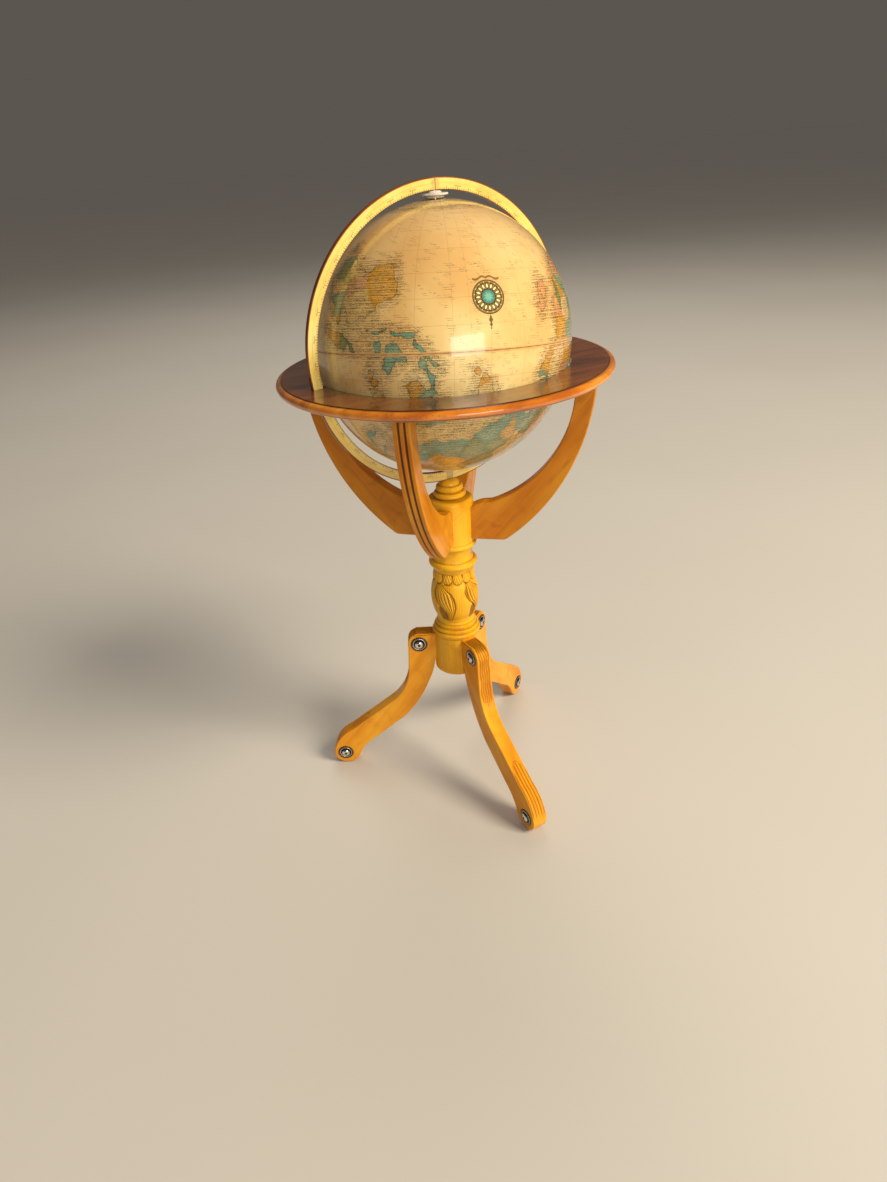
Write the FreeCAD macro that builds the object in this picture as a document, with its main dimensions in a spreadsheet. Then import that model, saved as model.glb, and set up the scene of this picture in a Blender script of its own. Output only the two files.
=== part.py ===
"""A floor-standing library globe: a varnished ball in a full meridian ring, a horizon ring on
four curved arms, and a turned column on three scrolled legs.

Frame: +Z up, origin on the floor under the column's axis.  The meridian ring lies in the XZ
plane, so the horizon ring's two notches are on +X and -X.  Millimetres.
"""

import FreeCAD, Part
import Sketcher
import os
import re
from FreeCAD import Placement, Rotation, Vector

DOC = FreeCAD.newDocument("LibraryGlobe")
UP = Vector(0, 0, 1)
ORIGIN = Vector(0, 0, 0)
SUB_PARTS = []

# ---------------------------------------------------------------- driving dimensions

DIMENSIONS = {
    # ball
    "ball_radius": 152.5,
    "ball_height": 638,
    "shell_wall": 3,
    "hoop_wall": 3,
    "hoop_half": 10,
    "tape_half": 1.6,
    "tape_thick": 0.25,
    "block_radius": 20,
    "block_thick": 12,
    # lean of the ball's halves, and of the map on them, from the line of the pins
    "lean_angle": 7.4,
    "lean_bearing": 50,
    # pole fittings
    "pin_radius": 2,
    "pin_play": 0.05,
    "bush_radius": 5,
    "bush_proud": 0.4,
    "cap_radius": 15.5,
    "cap_foot_radius": 11,
    "cap_hub_radius": 6,
    "cap_gap": 0.3,
    # meridian ring
    "meridian_inner": 161,
    "meridian_outer": 173.6,
    "meridian_core": 5.4,
    "paper_thick": 0.3,
    "paper_margin": 0.5,
    "splice_width": 9,
    # horizon ring
    "horizon_inner": 153,
    "horizon_outer": 203.3,
    "horizon_thick": 12.5,
    "horizon_drop": 25,
    "horizon_lip": 7,
    "horizon_quirk": 1.2,
    "notch_play": 0.9,
    "notch_reach": 173.2,
    # cradle and column
    "finial_rise": 24.6,
    "cradle_play": 0.4,
    "drum_radius": 31,
    "drum_top": 441,
    "drum_foot": 379,
    "waist_radius": 26.8,
    "collar_radius": 33.4,
    "baluster_top": 343,
    "bulb_radius": 34,
    "bulb_height": 295,
    "base_radius": 34.5,
    "hub_radius": 33,
    "hub_top": 234,
    "hub_foot": 174,
    "rod_radius": 4,
    "well_radius": 9,
    "well_depth": 14,
    "washer_thick": 1.6,
    "nut_height": 6.5,
    "nut_radius": 7.5,
    "tenon_length": 5,
    # bracket arms
    "arm_thick": 20,
    "arm_outer": 184.5,
    "arm_inner": 159.5,
    "arm_foot": 384,
    "arm_crook": 430.5,
    # legs
    "leg_thick": 22.5,
    "leg_reach": 203.2,
    "leg_top": 234,
    "sole_height": 1,
    # fixings
    "dowel_radius": 4,
    "leg_dowel_start": 14,
    "leg_dowel_length": 34,
    "arm_dowel_start": 12,
    "arm_dowel_length": 32,
    "ring_dowel_length": 20,
    "ring_dowel_bite": 8,
    "rosette_radius": 12,
    "rosette_thick": 1.4,
    "stud_radius": 7,
    "stud_rise": 3.6,
    "nail_radius": 1.25,
    "nail_length": 9,
    "glide_radius": 7,
    "glide_thick": 3,
}

ARM_ANGLES = (45, 135, 225, 315)
LEG_ANGLES = (30, 150, 270)
LEG_DOWEL_HEIGHTS = (190, 220)
ARM_DOWEL_HEIGHTS = (391, 416)
RING_DOWEL_REACH = 172.0
# Where the rosettes sit on a leg: distance from the column's axis and height.
ROSETTES = ((55.4, 217.0), (185.0, 20.8))
GLIDE_REACH = 184.0


def make_sheet():
    """The spreadsheet of driving dimensions, one row and one alias each."""
    sheet = DOC.addObject("Spreadsheet::Sheet", "Sizes")
    for row, (alias, number) in enumerate(DIMENSIONS.items(), start=1):
        sheet.set(f"A{row}", alias.replace("_", " "))
        sheet.set(f"B{row}", str(number))
        sheet.setAlias(f"B{row}", alias)
    DOC.recompute()
    return sheet


SHEET = make_sheet()


def formula(text):
    """An expression on the sheet: every word with an underscore is one of its aliases."""
    return re.sub(r"\b([a-z]+(?:_[a-z]+)+)\b", r"Sizes.\1", str(text))


def size(text):
    """The number that such an expression gives now."""
    return float(SHEET.evalExpression(formula(text)))


def bind(thing, **sizes):
    """Bind properties of an object to expressions on the sheet."""
    for name, text in sizes.items():
        thing.setExpression(name, formula(text))
    return thing


def sub_part(thing, label, placement=None):
    """Register an object as a finished piece under its own name."""
    thing.Label = label
    if placement is not None:
        thing.Placement = placement
    SUB_PARTS.append(thing)
    return thing


# ---------------------------------------------------------------- sketches and solids

def pin_point(sketch, geometry, corner, across, up):
    """Hold one corner of a sketch at two expressions."""
    for kind, axis, text in (("DistanceX", -2, across), ("DistanceY", -1, up)):
        if abs(size(text)) < 1e-9:
            sketch.addConstraint(Sketcher.Constraint("PointOnObject", geometry, corner, axis))
            continue
        constraint = Sketcher.Constraint(kind, -1, 1, geometry, corner, size(text))
        index = sketch.addConstraint(constraint)
        sketch.setExpression(f"Constraints[{index}]", formula(text))


def draw_outline(body, path):
    """A closed sketch in the XZ plane.  Each step of the path is an end point (a straight run) or a middle
    point and an end point (an arc); all of them are expressions on the sheet."""
    sketch = body.newObject("Sketcher::SketchObject", "Outline")
    origin = next(o for o in body.Origin.OriginFeatures if o.Role == "XZ_Plane")
    sketch.AttachmentSupport = [(origin, "")]
    sketch.MapMode = "FlatFace"
    start = path[0]
    steps = list(path[1:])
    if tuple(steps[-1][-2:]) != tuple(start):
        steps.append(start)
    here = start
    for step in steps:
        first = Vector(size(here[0]), size(here[1]), 0)
        last = Vector(size(step[-2]), size(step[-1]), 0)
        if len(step) == 2:
            geometry = sketch.addGeometry(Part.LineSegment(first, last), False)
            begins, ends = 1, 2
        else:
            middle = Vector(size(step[0]), size(step[1]), 0)
            arc = Part.Arc(first, middle, last)
            geometry = sketch.addGeometry(arc, False)
            begins, ends = (1, 2) if arc.toShape().Curve.Axis.z > 0 else (2, 1)
            via = sketch.addGeometry(Part.Point(middle), True)
            pin_point(sketch, via, 1, step[0], step[1])
            sketch.addConstraint(Sketcher.Constraint("PointOnObject", via, 1, geometry))
        pin_point(sketch, geometry, begins, *here)
        pin_point(sketch, geometry, ends, step[-2], step[-1])
        here = step[-2:]
    return sketch


def new_body(name):
    return DOC.addObject("PartDesign::Body", name)


def turned(name, path):
    """A body turned about Z from an outline of (radius, height) points."""
    body = new_body(name)
    turn = body.newObject("PartDesign::Revolution", "Turning")
    turn.Profile = draw_outline(body, path)
    turn.ReferenceAxis = (turn.Profile[0], ["V_Axis"])
    turn.Angle = 360.0
    turn.Profile[0].Visibility = False
    return body


def board(name, path, thick):
    """A board cut to an outline in the XZ plane, its thickness centred on that plane."""
    body = new_body(name)
    pad = body.newObject("PartDesign::Pad", "Board")
    pad.Profile = draw_outline(body, path)
    pad.SideType = "Symmetric"
    bind(pad, Length=thick)
    return body


def rod(name, radius, length, base=ORIGIN, axis=UP):
    """A plain cylinder along an axis from its base."""
    cylinder = DOC.addObject("Part::Cylinder", name)
    bind(cylinder, Radius=radius, Height=length)
    cylinder.Placement = Placement(base, Rotation(UP, axis))
    return cylinder


def block(name, length, width, height, corner):
    """A plain box from its lowest corner."""
    box = DOC.addObject("Part::Box", name)
    bind(box, Length=length, Width=width, Height=height)
    box.Placement = Placement(corner, Rotation())
    return box


def group(name, pieces):
    """Separate solids kept together in one object."""
    compound = DOC.addObject("Part::Compound", name)
    compound.Links = pieces
    return compound


def cut(name, base, tool):
    result = DOC.addObject("Part::Cut", name)
    result.Base = base
    result.Tool = tool
    return result


def mirrored(name, source, centre, normal=UP):
    copy = DOC.addObject("Part::Mirroring", name)
    copy.Source = source
    copy.Base = centre
    copy.Normal = normal
    return copy


def spun(angle):
    """Placement of a piece modelled along +X and turned about the column's axis."""
    return Placement(ORIGIN, Rotation(UP, angle))


def polar(angle, reach, height, aside=0.0):
    """A point at a distance from the column's axis, on a leg's or an arm's bearing."""
    return Rotation(UP, angle).multVec(Vector(reach, aside, height))


# ---------------------------------------------------------------- column

def column_finial():
    """Stepped turned finial.  A groove across its top cradles the meridian ring."""
    rise = "drum_top + "
    body = turned("finial_turning", [
        ("0", "drum_top - tenon_length"),
        ("well_radius", "drum_top - tenon_length"),
        ("well_radius", "drum_top"),
        ("19", "drum_top"),
        ("21.5", rise + "4.2", "18.6", rise + "8.4"),
        ("16.2", rise + "8.9"),
        ("18", rise + "13", "15.4", rise + "17"),
        ("13.6", rise + "17.4"),
        ("10.6", "drum_top + finial_rise - 1.6", "6", "drum_top + finial_rise"),
        ("0", "drum_top + finial_rise"),
    ])
    groove = rod("cradle_groove", "meridian_outer + cradle_play",
                 "meridian_core + 2 * paper_thick + 2 * cradle_play",
                 Vector(0, size("meridian_core / 2 + paper_thick + cradle_play"), size("ball_height")),
                 Vector(0, -1, 0))
    sub_part(cut("finial_cut", body, groove), "column_finial")


def upper_drum(dowels):
    """Plain drum that takes the four arms, over a lip, a waist and a collar ring."""
    body = turned("drum_turning", [
        ("rod_radius", "baluster_top"),
        ("collar_radius - 2.5", "baluster_top"),
        ("collar_radius", "baluster_top + 4", "collar_radius - 2.5", "baluster_top + 8"),
        ("waist_radius + 1.5", "baluster_top + 9"),
        ("waist_radius", "baluster_top + 16", "waist_radius + 2.2", "drum_foot - 7.5"),
        ("drum_radius + 1", "drum_foot - 6.6"),
        ("drum_radius + 2.4", "drum_foot - 3.6", "drum_radius + 1", "drum_foot - 0.6"),
        ("drum_radius", "drum_foot"),
        ("drum_radius", "drum_top - 5"),
        ("drum_radius - 1.6", "drum_top - 1.6", "drum_radius - 5.5", "drum_top"),
        ("well_radius", "drum_top"),
        ("well_radius", "drum_top - well_depth - tenon_length"),
        ("rod_radius", "drum_top - well_depth - tenon_length"),
    ])
    sub_part(cut("drum_cut", body, dowels), "upper_drum")


def carved_baluster():
    """Bulbous middle of the column; its carving stays inside this turned outline."""
    sub_part(turned("baluster_turning", [
        ("rod_radius", "hub_top"),
        ("base_radius - 1.5", "hub_top"),
        ("base_radius - 1.5", "hub_top + 1.5"),
        ("base_radius", "hub_top + 4.5", "base_radius - 1.8", "hub_top + 7.6"),
        ("base_radius - 3.4", "hub_top + 8.4"),
        ("base_radius - 2.4", "hub_top + 11", "base_radius - 4.2", "hub_top + 13.8"),
        ("base_radius - 6.4", "hub_top + 14.4"),
        ("base_radius - 5.6", "hub_top + 17", "base_radius - 7.6", "hub_top + 20.4"),
        ("bulb_radius - 8.4", "bulb_height - 36.4"),
        ("bulb_radius - 6.5", "bulb_height - 32"),
        ("bulb_radius", "bulb_height", "bulb_radius - 6.3", "bulb_height + 31"),
        ("bulb_radius - 6.3", "bulb_height + 32.5"),
        ("bulb_radius - 4.2", "bulb_height + 36", "bulb_radius - 6.6", "bulb_height + 39.5"),
        ("bulb_radius - 7", "bulb_height + 41"),
        ("bulb_radius - 5", "bulb_height + 45", "collar_radius - 2.5", "baluster_top"),
        ("rod_radius", "baluster_top"),
    ]), "carved_baluster")


def leg_hub(dowels):
    """Plain cylinder that the three legs stand against."""
    body = turned("hub_turning", [
        ("well_radius", "hub_foot"),
        ("hub_radius - 2", "hub_foot"),
        ("hub_radius", "hub_foot + 2"),
        ("hub_radius", "hub_top"),
        ("rod_radius", "hub_top"),
        ("rod_radius", "hub_foot + well_depth"),
        ("well_radius", "hub_foot + well_depth"),
    ])
    sub_part(cut("hub_cut", body, dowels), "leg_hub")


def tie_rod():
    """Threaded rod through the column, with a washer and a nut in a well at each end."""
    low_well = size("hub_foot + well_depth")
    high_well = size("drum_top - well_depth - tenon_length")
    washer = size("washer_thick")
    nut = size("nut_height")
    tail = 1.2
    rod_foot = low_well - washer - nut - tail
    length = f"drum_top - hub_foot - 2 * well_depth - tenon_length + 2 * (washer_thick + nut_height + {tail})"
    sub_part(rod("rod_bar", "rod_radius", length, Vector(0, 0, rod_foot)), "column_tie_rod")

    washers = []
    nuts = []
    for end, washer_foot, nut_foot in (
        ("low", low_well - washer, low_well - washer - nut),
        ("high", high_well, high_well + washer),
    ):
        disc = rod(f"{end}_washer_disc", "well_radius - 1", "washer_thick", Vector(0, 0, washer_foot))
        hole = rod(f"{end}_washer_hole", "rod_radius", "washer_thick", Vector(0, 0, washer_foot))
        washers.append(cut(f"{end}_washer", disc, hole))
        hexagon = DOC.addObject("Part::Prism", f"{end}_nut_hexagon")
        hexagon.Polygon = 6
        bind(hexagon, Circumradius="nut_radius", Height="nut_height")
        hexagon.Placement = Placement(Vector(0, 0, nut_foot), Rotation())
        thread = rod(f"{end}_nut_thread", "rod_radius", "nut_height", Vector(0, 0, nut_foot))
        nuts.append(cut(f"{end}_nut", hexagon, thread))
    sub_part(group("tie_rod_washer_pair", washers), "tie_rod_washers")
    sub_part(group("tie_rod_nut_pair", nuts), "tie_rod_nuts")


# ---------------------------------------------------------------- dowels

def radial_dowels(label, angles, heights, start, length):
    """Level dowels that point away from the column's axis."""
    dowels = []
    for angle in angles:
        for height in heights:
            base = polar(angle, size(start), height)
            axis = polar(angle, 1, 0)
            dowels.append(rod(f"{label}_{angle}_{height}", "dowel_radius", length, base, axis))
    return sub_part(group(f"{label}_group", dowels), label)


def ring_dowels():
    """Upright dowels between the arms and the horizon ring."""
    foot = size("ball_height - horizon_drop - horizon_thick + ring_dowel_bite - ring_dowel_length")
    dowels = [
        rod(f"ring_dowel_{angle}", "dowel_radius", "ring_dowel_length", polar(angle, RING_DOWEL_REACH, foot))
        for angle in ARM_ANGLES
    ]
    return sub_part(group("ring_dowel_group", dowels), "ring_dowels")


# ---------------------------------------------------------------- horizon ring and arms

def horizon_ring(dowels):
    """Flat ring with a quirked, rounded outer edge and two notches for the meridian ring."""
    top = "ball_height - horizon_drop"
    foot = "ball_height - horizon_drop - horizon_thick"
    body = turned("horizon_turning", [
        ("horizon_inner", foot),
        ("horizon_outer - horizon_lip", foot),
        ("horizon_outer - horizon_lip", f"{foot} + horizon_quirk"),
        ("horizon_outer - 3.6", f"{foot} + horizon_quirk"),
        ("horizon_outer", f"{foot} + horizon_thick / 2",
         "horizon_outer - 3.6", f"{top} - horizon_quirk"),
        ("horizon_outer - horizon_lip", f"{top} - horizon_quirk"),
        ("horizon_outer - horizon_lip", top),
        ("horizon_inner", top),
    ])
    slot = "meridian_core + 2 * paper_thick + 2 * notch_play"
    notches = []
    for side, start in (("east", size("horizon_inner - 3")), ("west", -size("notch_reach"))):
        corner = Vector(start, -size(slot) / 2, size(foot) - 1)
        notches.append(block(f"{side}_notch", "notch_reach - horizon_inner + 3", slot,
                             "horizon_thick + 2", corner))
    tools = group("horizon_tools", notches + [dowels])
    sub_part(cut("horizon_cut", body, tools), "horizon_ring")


def bracket_arm(number, angle):
    """Curved board arm from the drum up to the horizon ring."""
    top = "ball_height - horizon_drop - horizon_thick"
    body = board(f"arm_{number}_board", [
        ("drum_radius - 6", "arm_foot"),
        ("drum_radius + 44", "arm_foot + 1"),
        ("arm_outer - 37.5", f"{top} - 134", "arm_outer", top),
        ("arm_inner", top),
        ("arm_inner - 39.5", f"{top} - 118.5", "drum_radius + 23", "arm_crook + 6"),
        ("drum_radius + 9.5", "arm_crook + 4.4", "drum_radius", "arm_crook"),
        ("drum_radius - 6", "arm_crook - 3"),
    ], "arm_thick")
    drum_face = rod(f"arm_{number}_drum_face", "drum_radius", "drum_top - drum_foot",
                    Vector(0, 0, size("drum_foot")))
    holes = [drum_face]
    for height in ARM_DOWEL_HEIGHTS:
        base = Vector(size("arm_dowel_start"), 0, height)
        holes.append(rod(f"arm_{number}_hole_{height}", "dowel_radius", "arm_dowel_length",
                         base, Vector(1, 0, 0)))
    ring_hole_foot = size(f"{top} + ring_dowel_bite - ring_dowel_length")
    holes.append(rod(f"arm_{number}_ring_hole", "dowel_radius", "ring_dowel_length",
                     Vector(RING_DOWEL_REACH, 0, ring_hole_foot)))
    tools = group(f"arm_{number}_tools", holes)
    sub_part(cut(f"arm_{number}_cut", body, tools), f"bracket_arm_{number}", spun(angle))


# ---------------------------------------------------------------- legs

def leg(number, angle):
    """Cabriole leg sawn from a board: square shoulder, long sweep, scrolled foot."""
    body = board(f"leg_{number}_board", [
        ("hub_radius - 5", "leg_top"),
        ("58.5", "leg_top + 0.5"),
        ("68.2", "leg_top - 6.5", "71.5", "leg_top - 22"),
        ("74", "172"),
        ("82.4", "141.5", "104", "115"),
        ("leg_reach - 32", "64"),
        ("leg_reach - 7.2", "41.2", "leg_reach", "21.5"),
        ("leg_reach - 4.4", "7.4", "leg_reach - 14.7", "sole_height"),
        ("leg_reach - 26.7", "sole_height"),
        ("leg_reach - 36", "7.2", "leg_reach - 42", "18"),
        ("leg_reach - 53.2", "34.6", "leg_reach - 68", "47"),
        ("85.5", "87.2"),
        ("60", "120", "44.5", "151.5"),
        ("37", "171", "hub_radius", "190"),
        ("hub_radius - 5", "190"),
    ], "leg_thick")
    holes = [rod(f"leg_{number}_hub_face", "hub_radius", "hub_top - hub_foot + 2",
                 Vector(0, 0, size("hub_foot")))]
    for height in LEG_DOWEL_HEIGHTS:
        base = Vector(size("leg_dowel_start"), 0, height)
        holes.append(rod(f"leg_{number}_hole_{height}", "dowel_radius", "leg_dowel_length",
                         base, Vector(1, 0, 0)))
    for place, (reach, height) in enumerate(ROSETTES):
        for side in (-1, 1):
            base = Vector(reach, side * size("leg_thick") / 2, height)
            holes.append(rod(f"leg_{number}_nail_hole_{place}_{side + 1}", "nail_radius",
                             "nail_length", base, Vector(0, -side, 0)))
    holes.append(rod(f"leg_{number}_glide_hole", "glide_radius", "glide_thick",
                     Vector(GLIDE_REACH, 0, 0)))
    tools = group(f"leg_{number}_tools", holes)
    sub_part(cut(f"leg_{number}_cut", body, tools), f"leg_{number}", spun(angle))


def foot_glides():
    """Round glides let into the soles; the globe stands on them."""
    glides = [rod(f"glide_{angle}", "glide_radius", "glide_thick", polar(angle, GLIDE_REACH, 0))
              for angle in LEG_ANGLES]
    sub_part(group("glide_group", glides), "foot_glides")


def rosette_rim(name, placement):
    """Round pressed plate with a raised rim, lying on a leg's face."""
    body = turned(f"{name}_rim", [
        ("nail_radius", "0"),
        ("rosette_radius - 0.6", "0"),
        ("rosette_radius", "rosette_thick / 2", "rosette_radius - 1.6", "rosette_thick"),
        ("rosette_radius - 3", "rosette_thick * 0.5"),
        ("nail_radius", "rosette_thick * 0.5"),
    ])
    body.Placement = placement
    return body


def rosette_stud(name, placement):
    """Domed nail head and its shank."""
    body = turned(f"{name}_stud", [
        ("0", "-nail_length"),
        ("nail_radius", "-nail_length"),
        ("nail_radius", "rosette_thick * 0.5"),
        ("stud_radius", "rosette_thick * 0.5"),
        ("stud_radius * 0.76", "rosette_thick * 0.5 + stud_rise * 0.66",
         "stud_radius * 0.14", "rosette_thick * 0.5 + stud_rise"),
        ("0", "rosette_thick * 0.5 + stud_rise"),
    ])
    body.Placement = placement
    return body


def rosettes():
    """A rosette on both faces of every leg, at its shoulder and at its scroll."""
    rims = []
    studs = []
    for angle in LEG_ANGLES:
        for place, (reach, height) in enumerate(ROSETTES):
            for side in (-1, 1):
                name = f"rosette_{angle}_{place}_{side + 1}"
                base = polar(angle, reach, height, side * size("leg_thick") / 2)
                outward = polar(angle, 0, 0, side)
                placement = Placement(base, Rotation(UP, outward))
                rims.append(rosette_rim(name, placement))
                studs.append(rosette_stud(name, placement))
    sub_part(group("rosette_rim_group", rims), "rosette_rims")
    sub_part(group("rosette_stud_group", studs), "rosette_studs")


# ---------------------------------------------------------------- meridian ring

def pole_pins():
    """Two steel pins in line with the ball's axis, each through the ring at a pole."""
    centre = Vector(0, 0, size("ball_height"))
    start = "ball_radius - shell_wall - block_thick"
    north = rod("north_pin", "pin_radius", f"meridian_outer - ({start}) - 0.4",
                centre + Vector(0, 0, size(start)))
    south = mirrored("south_pin", north, centre)
    return sub_part(group("pin_pair", [north, south]), "pole_pins")


def meridian_half(label, side, pins):
    """Half of the ring's core, from pole to pole."""
    edge = "" if side > 0 else "-"
    body = board(f"{label}_core", [
        ("0", "meridian_outer"),
        (f"{edge}meridian_outer", "0", "0", "-meridian_outer"),
        ("0", "-meridian_inner"),
        (f"{edge}meridian_inner", "0", "0", "meridian_inner"),
    ], "meridian_core")
    body.Placement = Placement(Vector(0, 0, size("ball_height")), Rotation())
    sub_part(cut(f"{label}_cut", body, pins), label)


def meridian_faces():
    """Printed scales on both faces of the ring, and plates over its joints at the poles."""
    inner = "meridian_inner + paper_margin"
    outer = "meridian_outer - paper_margin"
    plates = []
    for face, side in (("front", -1), ("back", 1)):
        near = size("meridian_core / 2")
        base = Vector(0, side * near, size("ball_height"))
        axis = Vector(0, side, 0)
        disc = rod(f"{face}_disc", outer, "paper_thick", base, axis)
        tools = [rod(f"{face}_hole", inner, "paper_thick", base, axis)]
        plate_foot = near if side > 0 else -near - size("paper_thick")
        for pole, direction in (("north", 1), ("south", -1)):
            level = size("ball_height") + direction * size("(meridian_inner + meridian_outer) / 2")
            height = "meridian_outer - meridian_inner - 4 * paper_margin"
            corner = Vector(-size("splice_width") / 2, plate_foot, level - size(height) / 2)
            plate = block(f"{face}_{pole}_plate", "splice_width", "paper_thick", height, corner)
            plates.append(plate)
        scale = cut(f"{face}_scale_cut", disc, group(f"{face}_scale_tools", tools + plates[-2:]))
        sub_part(scale, f"meridian_scale_{face}")
    sub_part(group("splice_plate_group", plates), "splice_plates")


def pole_caps():
    """Stepped caps on the pins that keep the ball centred between the poles."""
    start = "ball_radius + bush_proud + cap_gap"
    north = turned("north_cap", [
        ("pin_radius", start),
        ("cap_foot_radius - 0.8", start),
        ("cap_foot_radius", f"{start} + 1.1", "cap_foot_radius - 0.8", f"{start} + 2.2"),
        ("cap_radius - 0.9", f"{start} + 2.6"),
        ("cap_radius", f"{start} + 3.7", "cap_radius - 0.9", f"{start} + 4.8"),
        ("cap_hub_radius + 2.4", f"{start} + 5.3"),
        ("cap_hub_radius + 1.3", f"{start} + 6.5", "cap_hub_radius - 1", "meridian_inner - 0.6"),
        ("pin_radius", "meridian_inner - 0.6"),
    ])
    centre = Vector(0, 0, size("ball_height"))
    north.Placement = Placement(centre, Rotation())
    south = mirrored("south_cap", north, centre)
    sub_part(group("cap_pair", [north, south]), "pole_caps")


# ---------------------------------------------------------------- ball

def about_centre(body):
    """Move a body turned about its own origin up to the ball's centre."""
    body.Placement = Placement(Vector(0, 0, size("ball_height")), Rotation())
    return body


def leaned(body):
    """The same, leaned away from the line of the pins."""
    bearing = size("lean_bearing + 90")
    axis = Rotation(UP, bearing).multVec(Vector(1, 0, 0))
    body.Placement = Placement(Vector(0, 0, size("ball_height")), Rotation(axis, size("lean_angle")))
    return body


def pole_bushes():
    """Tubes through the ball's skin that run on the pins."""
    foot = "ball_radius - shell_wall - block_thick"
    upper = about_centre(turned("upper_bush", [
        ("pin_radius + pin_play", foot),
        ("bush_radius", foot),
        ("bush_radius", "ball_radius + bush_proud"),
        ("pin_radius + pin_play", "ball_radius + bush_proud"),
    ]))
    lower = mirrored("lower_bush", upper, Vector(0, 0, size("ball_height")))
    sub_part(group("bush_pair", [upper, lower]), "pole_bushes")


def ball_shells():
    """Two hollow hemispheres that meet at the map's equator, bored for the bushes."""
    inner = "(ball_radius - shell_wall)"
    for label, side in (("upper", ""), ("lower", "-")):
        half = leaned(turned(f"{label}_half", [
            (inner, "0"),
            ("ball_radius", "0"),
            ("ball_radius * cos(45)", f"{side}ball_radius * sin(45)", "0", f"{side}ball_radius"),
            ("0", f"{side}{inner}"),
            (f"{inner} * cos(45)", f"{side}{inner} * sin(45)", inner, "0"),
        ]))
        bore = rod(f"{label}_bore", "bush_radius", "2 * ball_radius + 4",
                   Vector(0, 0, size("ball_height - ball_radius - 2")))
        sub_part(cut(f"{label}_shell", half, bore), f"ball_shell_{label}")


def equator_pieces():
    """Hoop inside the shells' joint and the printed tape over it outside."""
    inner = "(ball_radius - shell_wall)"
    edge = f"sqrt({inner} ^ 2 - hoop_half ^ 2)"
    sub_part(leaned(turned("hoop_turning", [
        (f"{inner} - hoop_wall", "-hoop_half"),
        (edge, "-hoop_half"),
        (inner, "0", edge, "hoop_half"),
        (f"{inner} - hoop_wall", "hoop_half"),
    ])), "equator_hoop")

    low = "sqrt(ball_radius ^ 2 - tape_half ^ 2)"
    sub_part(leaned(turned("tape_turning", [
        (low, "-tape_half"),
        (f"{low} + tape_thick", "-tape_half"),
        ("ball_radius + tape_thick", "0", f"{low} + tape_thick", "tape_half"),
        (low, "tape_half"),
        ("ball_radius", "0", low, "-tape_half"),
    ])), "equator_tape")


def pole_blocks():
    """Wooden blocks glued inside the skin round each bush."""
    inner = "(ball_radius - shell_wall)"
    foot = f"{inner} - block_thick"
    upper = about_centre(turned("upper_block", [
        ("bush_radius", foot),
        ("block_radius", foot),
        ("block_radius", f"sqrt({inner} ^ 2 - block_radius ^ 2)"),
        ("block_radius * 0.6", f"sqrt({inner} ^ 2 - (block_radius * 0.6) ^ 2)",
         "bush_radius", f"sqrt({inner} ^ 2 - bush_radius ^ 2)"),
    ]))
    lower = mirrored("lower_block", upper, Vector(0, 0, size("ball_height")))
    sub_part(group("block_pair", [upper, lower]), "pole_blocks")


# ---------------------------------------------------------------- assembly

def build():
    arm_dowels = radial_dowels("drum_dowels", ARM_ANGLES, ARM_DOWEL_HEIGHTS,
                               "arm_dowel_start", "arm_dowel_length")
    leg_dowels = radial_dowels("leg_dowels", LEG_ANGLES, LEG_DOWEL_HEIGHTS,
                               "leg_dowel_start", "leg_dowel_length")
    rim_dowels = ring_dowels()
    column_finial()
    upper_drum(arm_dowels)
    carved_baluster()
    leg_hub(leg_dowels)
    tie_rod()
    horizon_ring(rim_dowels)
    for number, angle in enumerate(ARM_ANGLES, start=1):
        bracket_arm(number, angle)
    for number, angle in enumerate(LEG_ANGLES, start=1):
        leg(number, angle)
    foot_glides()
    rosettes()
    pins = pole_pins()
    meridian_half("meridian_half_east", 1, pins)
    meridian_half("meridian_half_west", -1, pins)
    meridian_faces()
    pole_caps()
    pole_bushes()
    ball_shells()
    equator_pieces()
    pole_blocks()


def check_and_write():
    """Refuse a failed object or an invalid shape, then write one file for each piece."""
    DOC.recompute()
    for thing in DOC.Objects:
        if "Invalid" in thing.State or "Error" in thing.State:
            raise RuntimeError(f"{thing.Name} ({thing.Label}) failed: {thing.State}")
    os.makedirs("parts", exist_ok=True)
    for thing in SUB_PARTS:
        shape = thing.Shape
        if shape.isNull() or not shape.isValid() or not shape.Solids:
            raise RuntimeError(f"{thing.Label} has no valid solid")
        shape.exportStep(os.path.join("parts", f"{thing.Label}.step"))
        print(f"{thing.Label}: {len(shape.Solids)} solid(s), {shape.Volume / 1000:.2f} cm3")


build()
check_and_write()
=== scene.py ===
"""Looks of the library globe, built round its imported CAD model.

The frame is the CAD's: metres, +Z up, origin on the floor under the column's axis, and the meridian ring
in the XZ plane.  Outlines below are in millimetres, as in the CAD source, and MM turns them into metres.
"""

import math

import bpy
import numpy as np
from mathutils import Matrix, Vector
from mathutils.geometry import tessellate_polygon


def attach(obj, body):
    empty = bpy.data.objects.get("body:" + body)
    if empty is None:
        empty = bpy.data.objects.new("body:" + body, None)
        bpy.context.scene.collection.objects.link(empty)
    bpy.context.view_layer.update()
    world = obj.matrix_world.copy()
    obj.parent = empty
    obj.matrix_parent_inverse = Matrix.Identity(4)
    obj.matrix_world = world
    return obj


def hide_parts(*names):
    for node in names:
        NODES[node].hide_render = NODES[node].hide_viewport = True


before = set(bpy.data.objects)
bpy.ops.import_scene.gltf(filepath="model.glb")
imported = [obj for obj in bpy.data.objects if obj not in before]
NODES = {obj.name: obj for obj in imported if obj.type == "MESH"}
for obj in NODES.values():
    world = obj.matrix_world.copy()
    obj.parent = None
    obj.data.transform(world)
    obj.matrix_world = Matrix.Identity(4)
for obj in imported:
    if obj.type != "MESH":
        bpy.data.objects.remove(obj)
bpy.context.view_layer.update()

MM = 0.001
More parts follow.
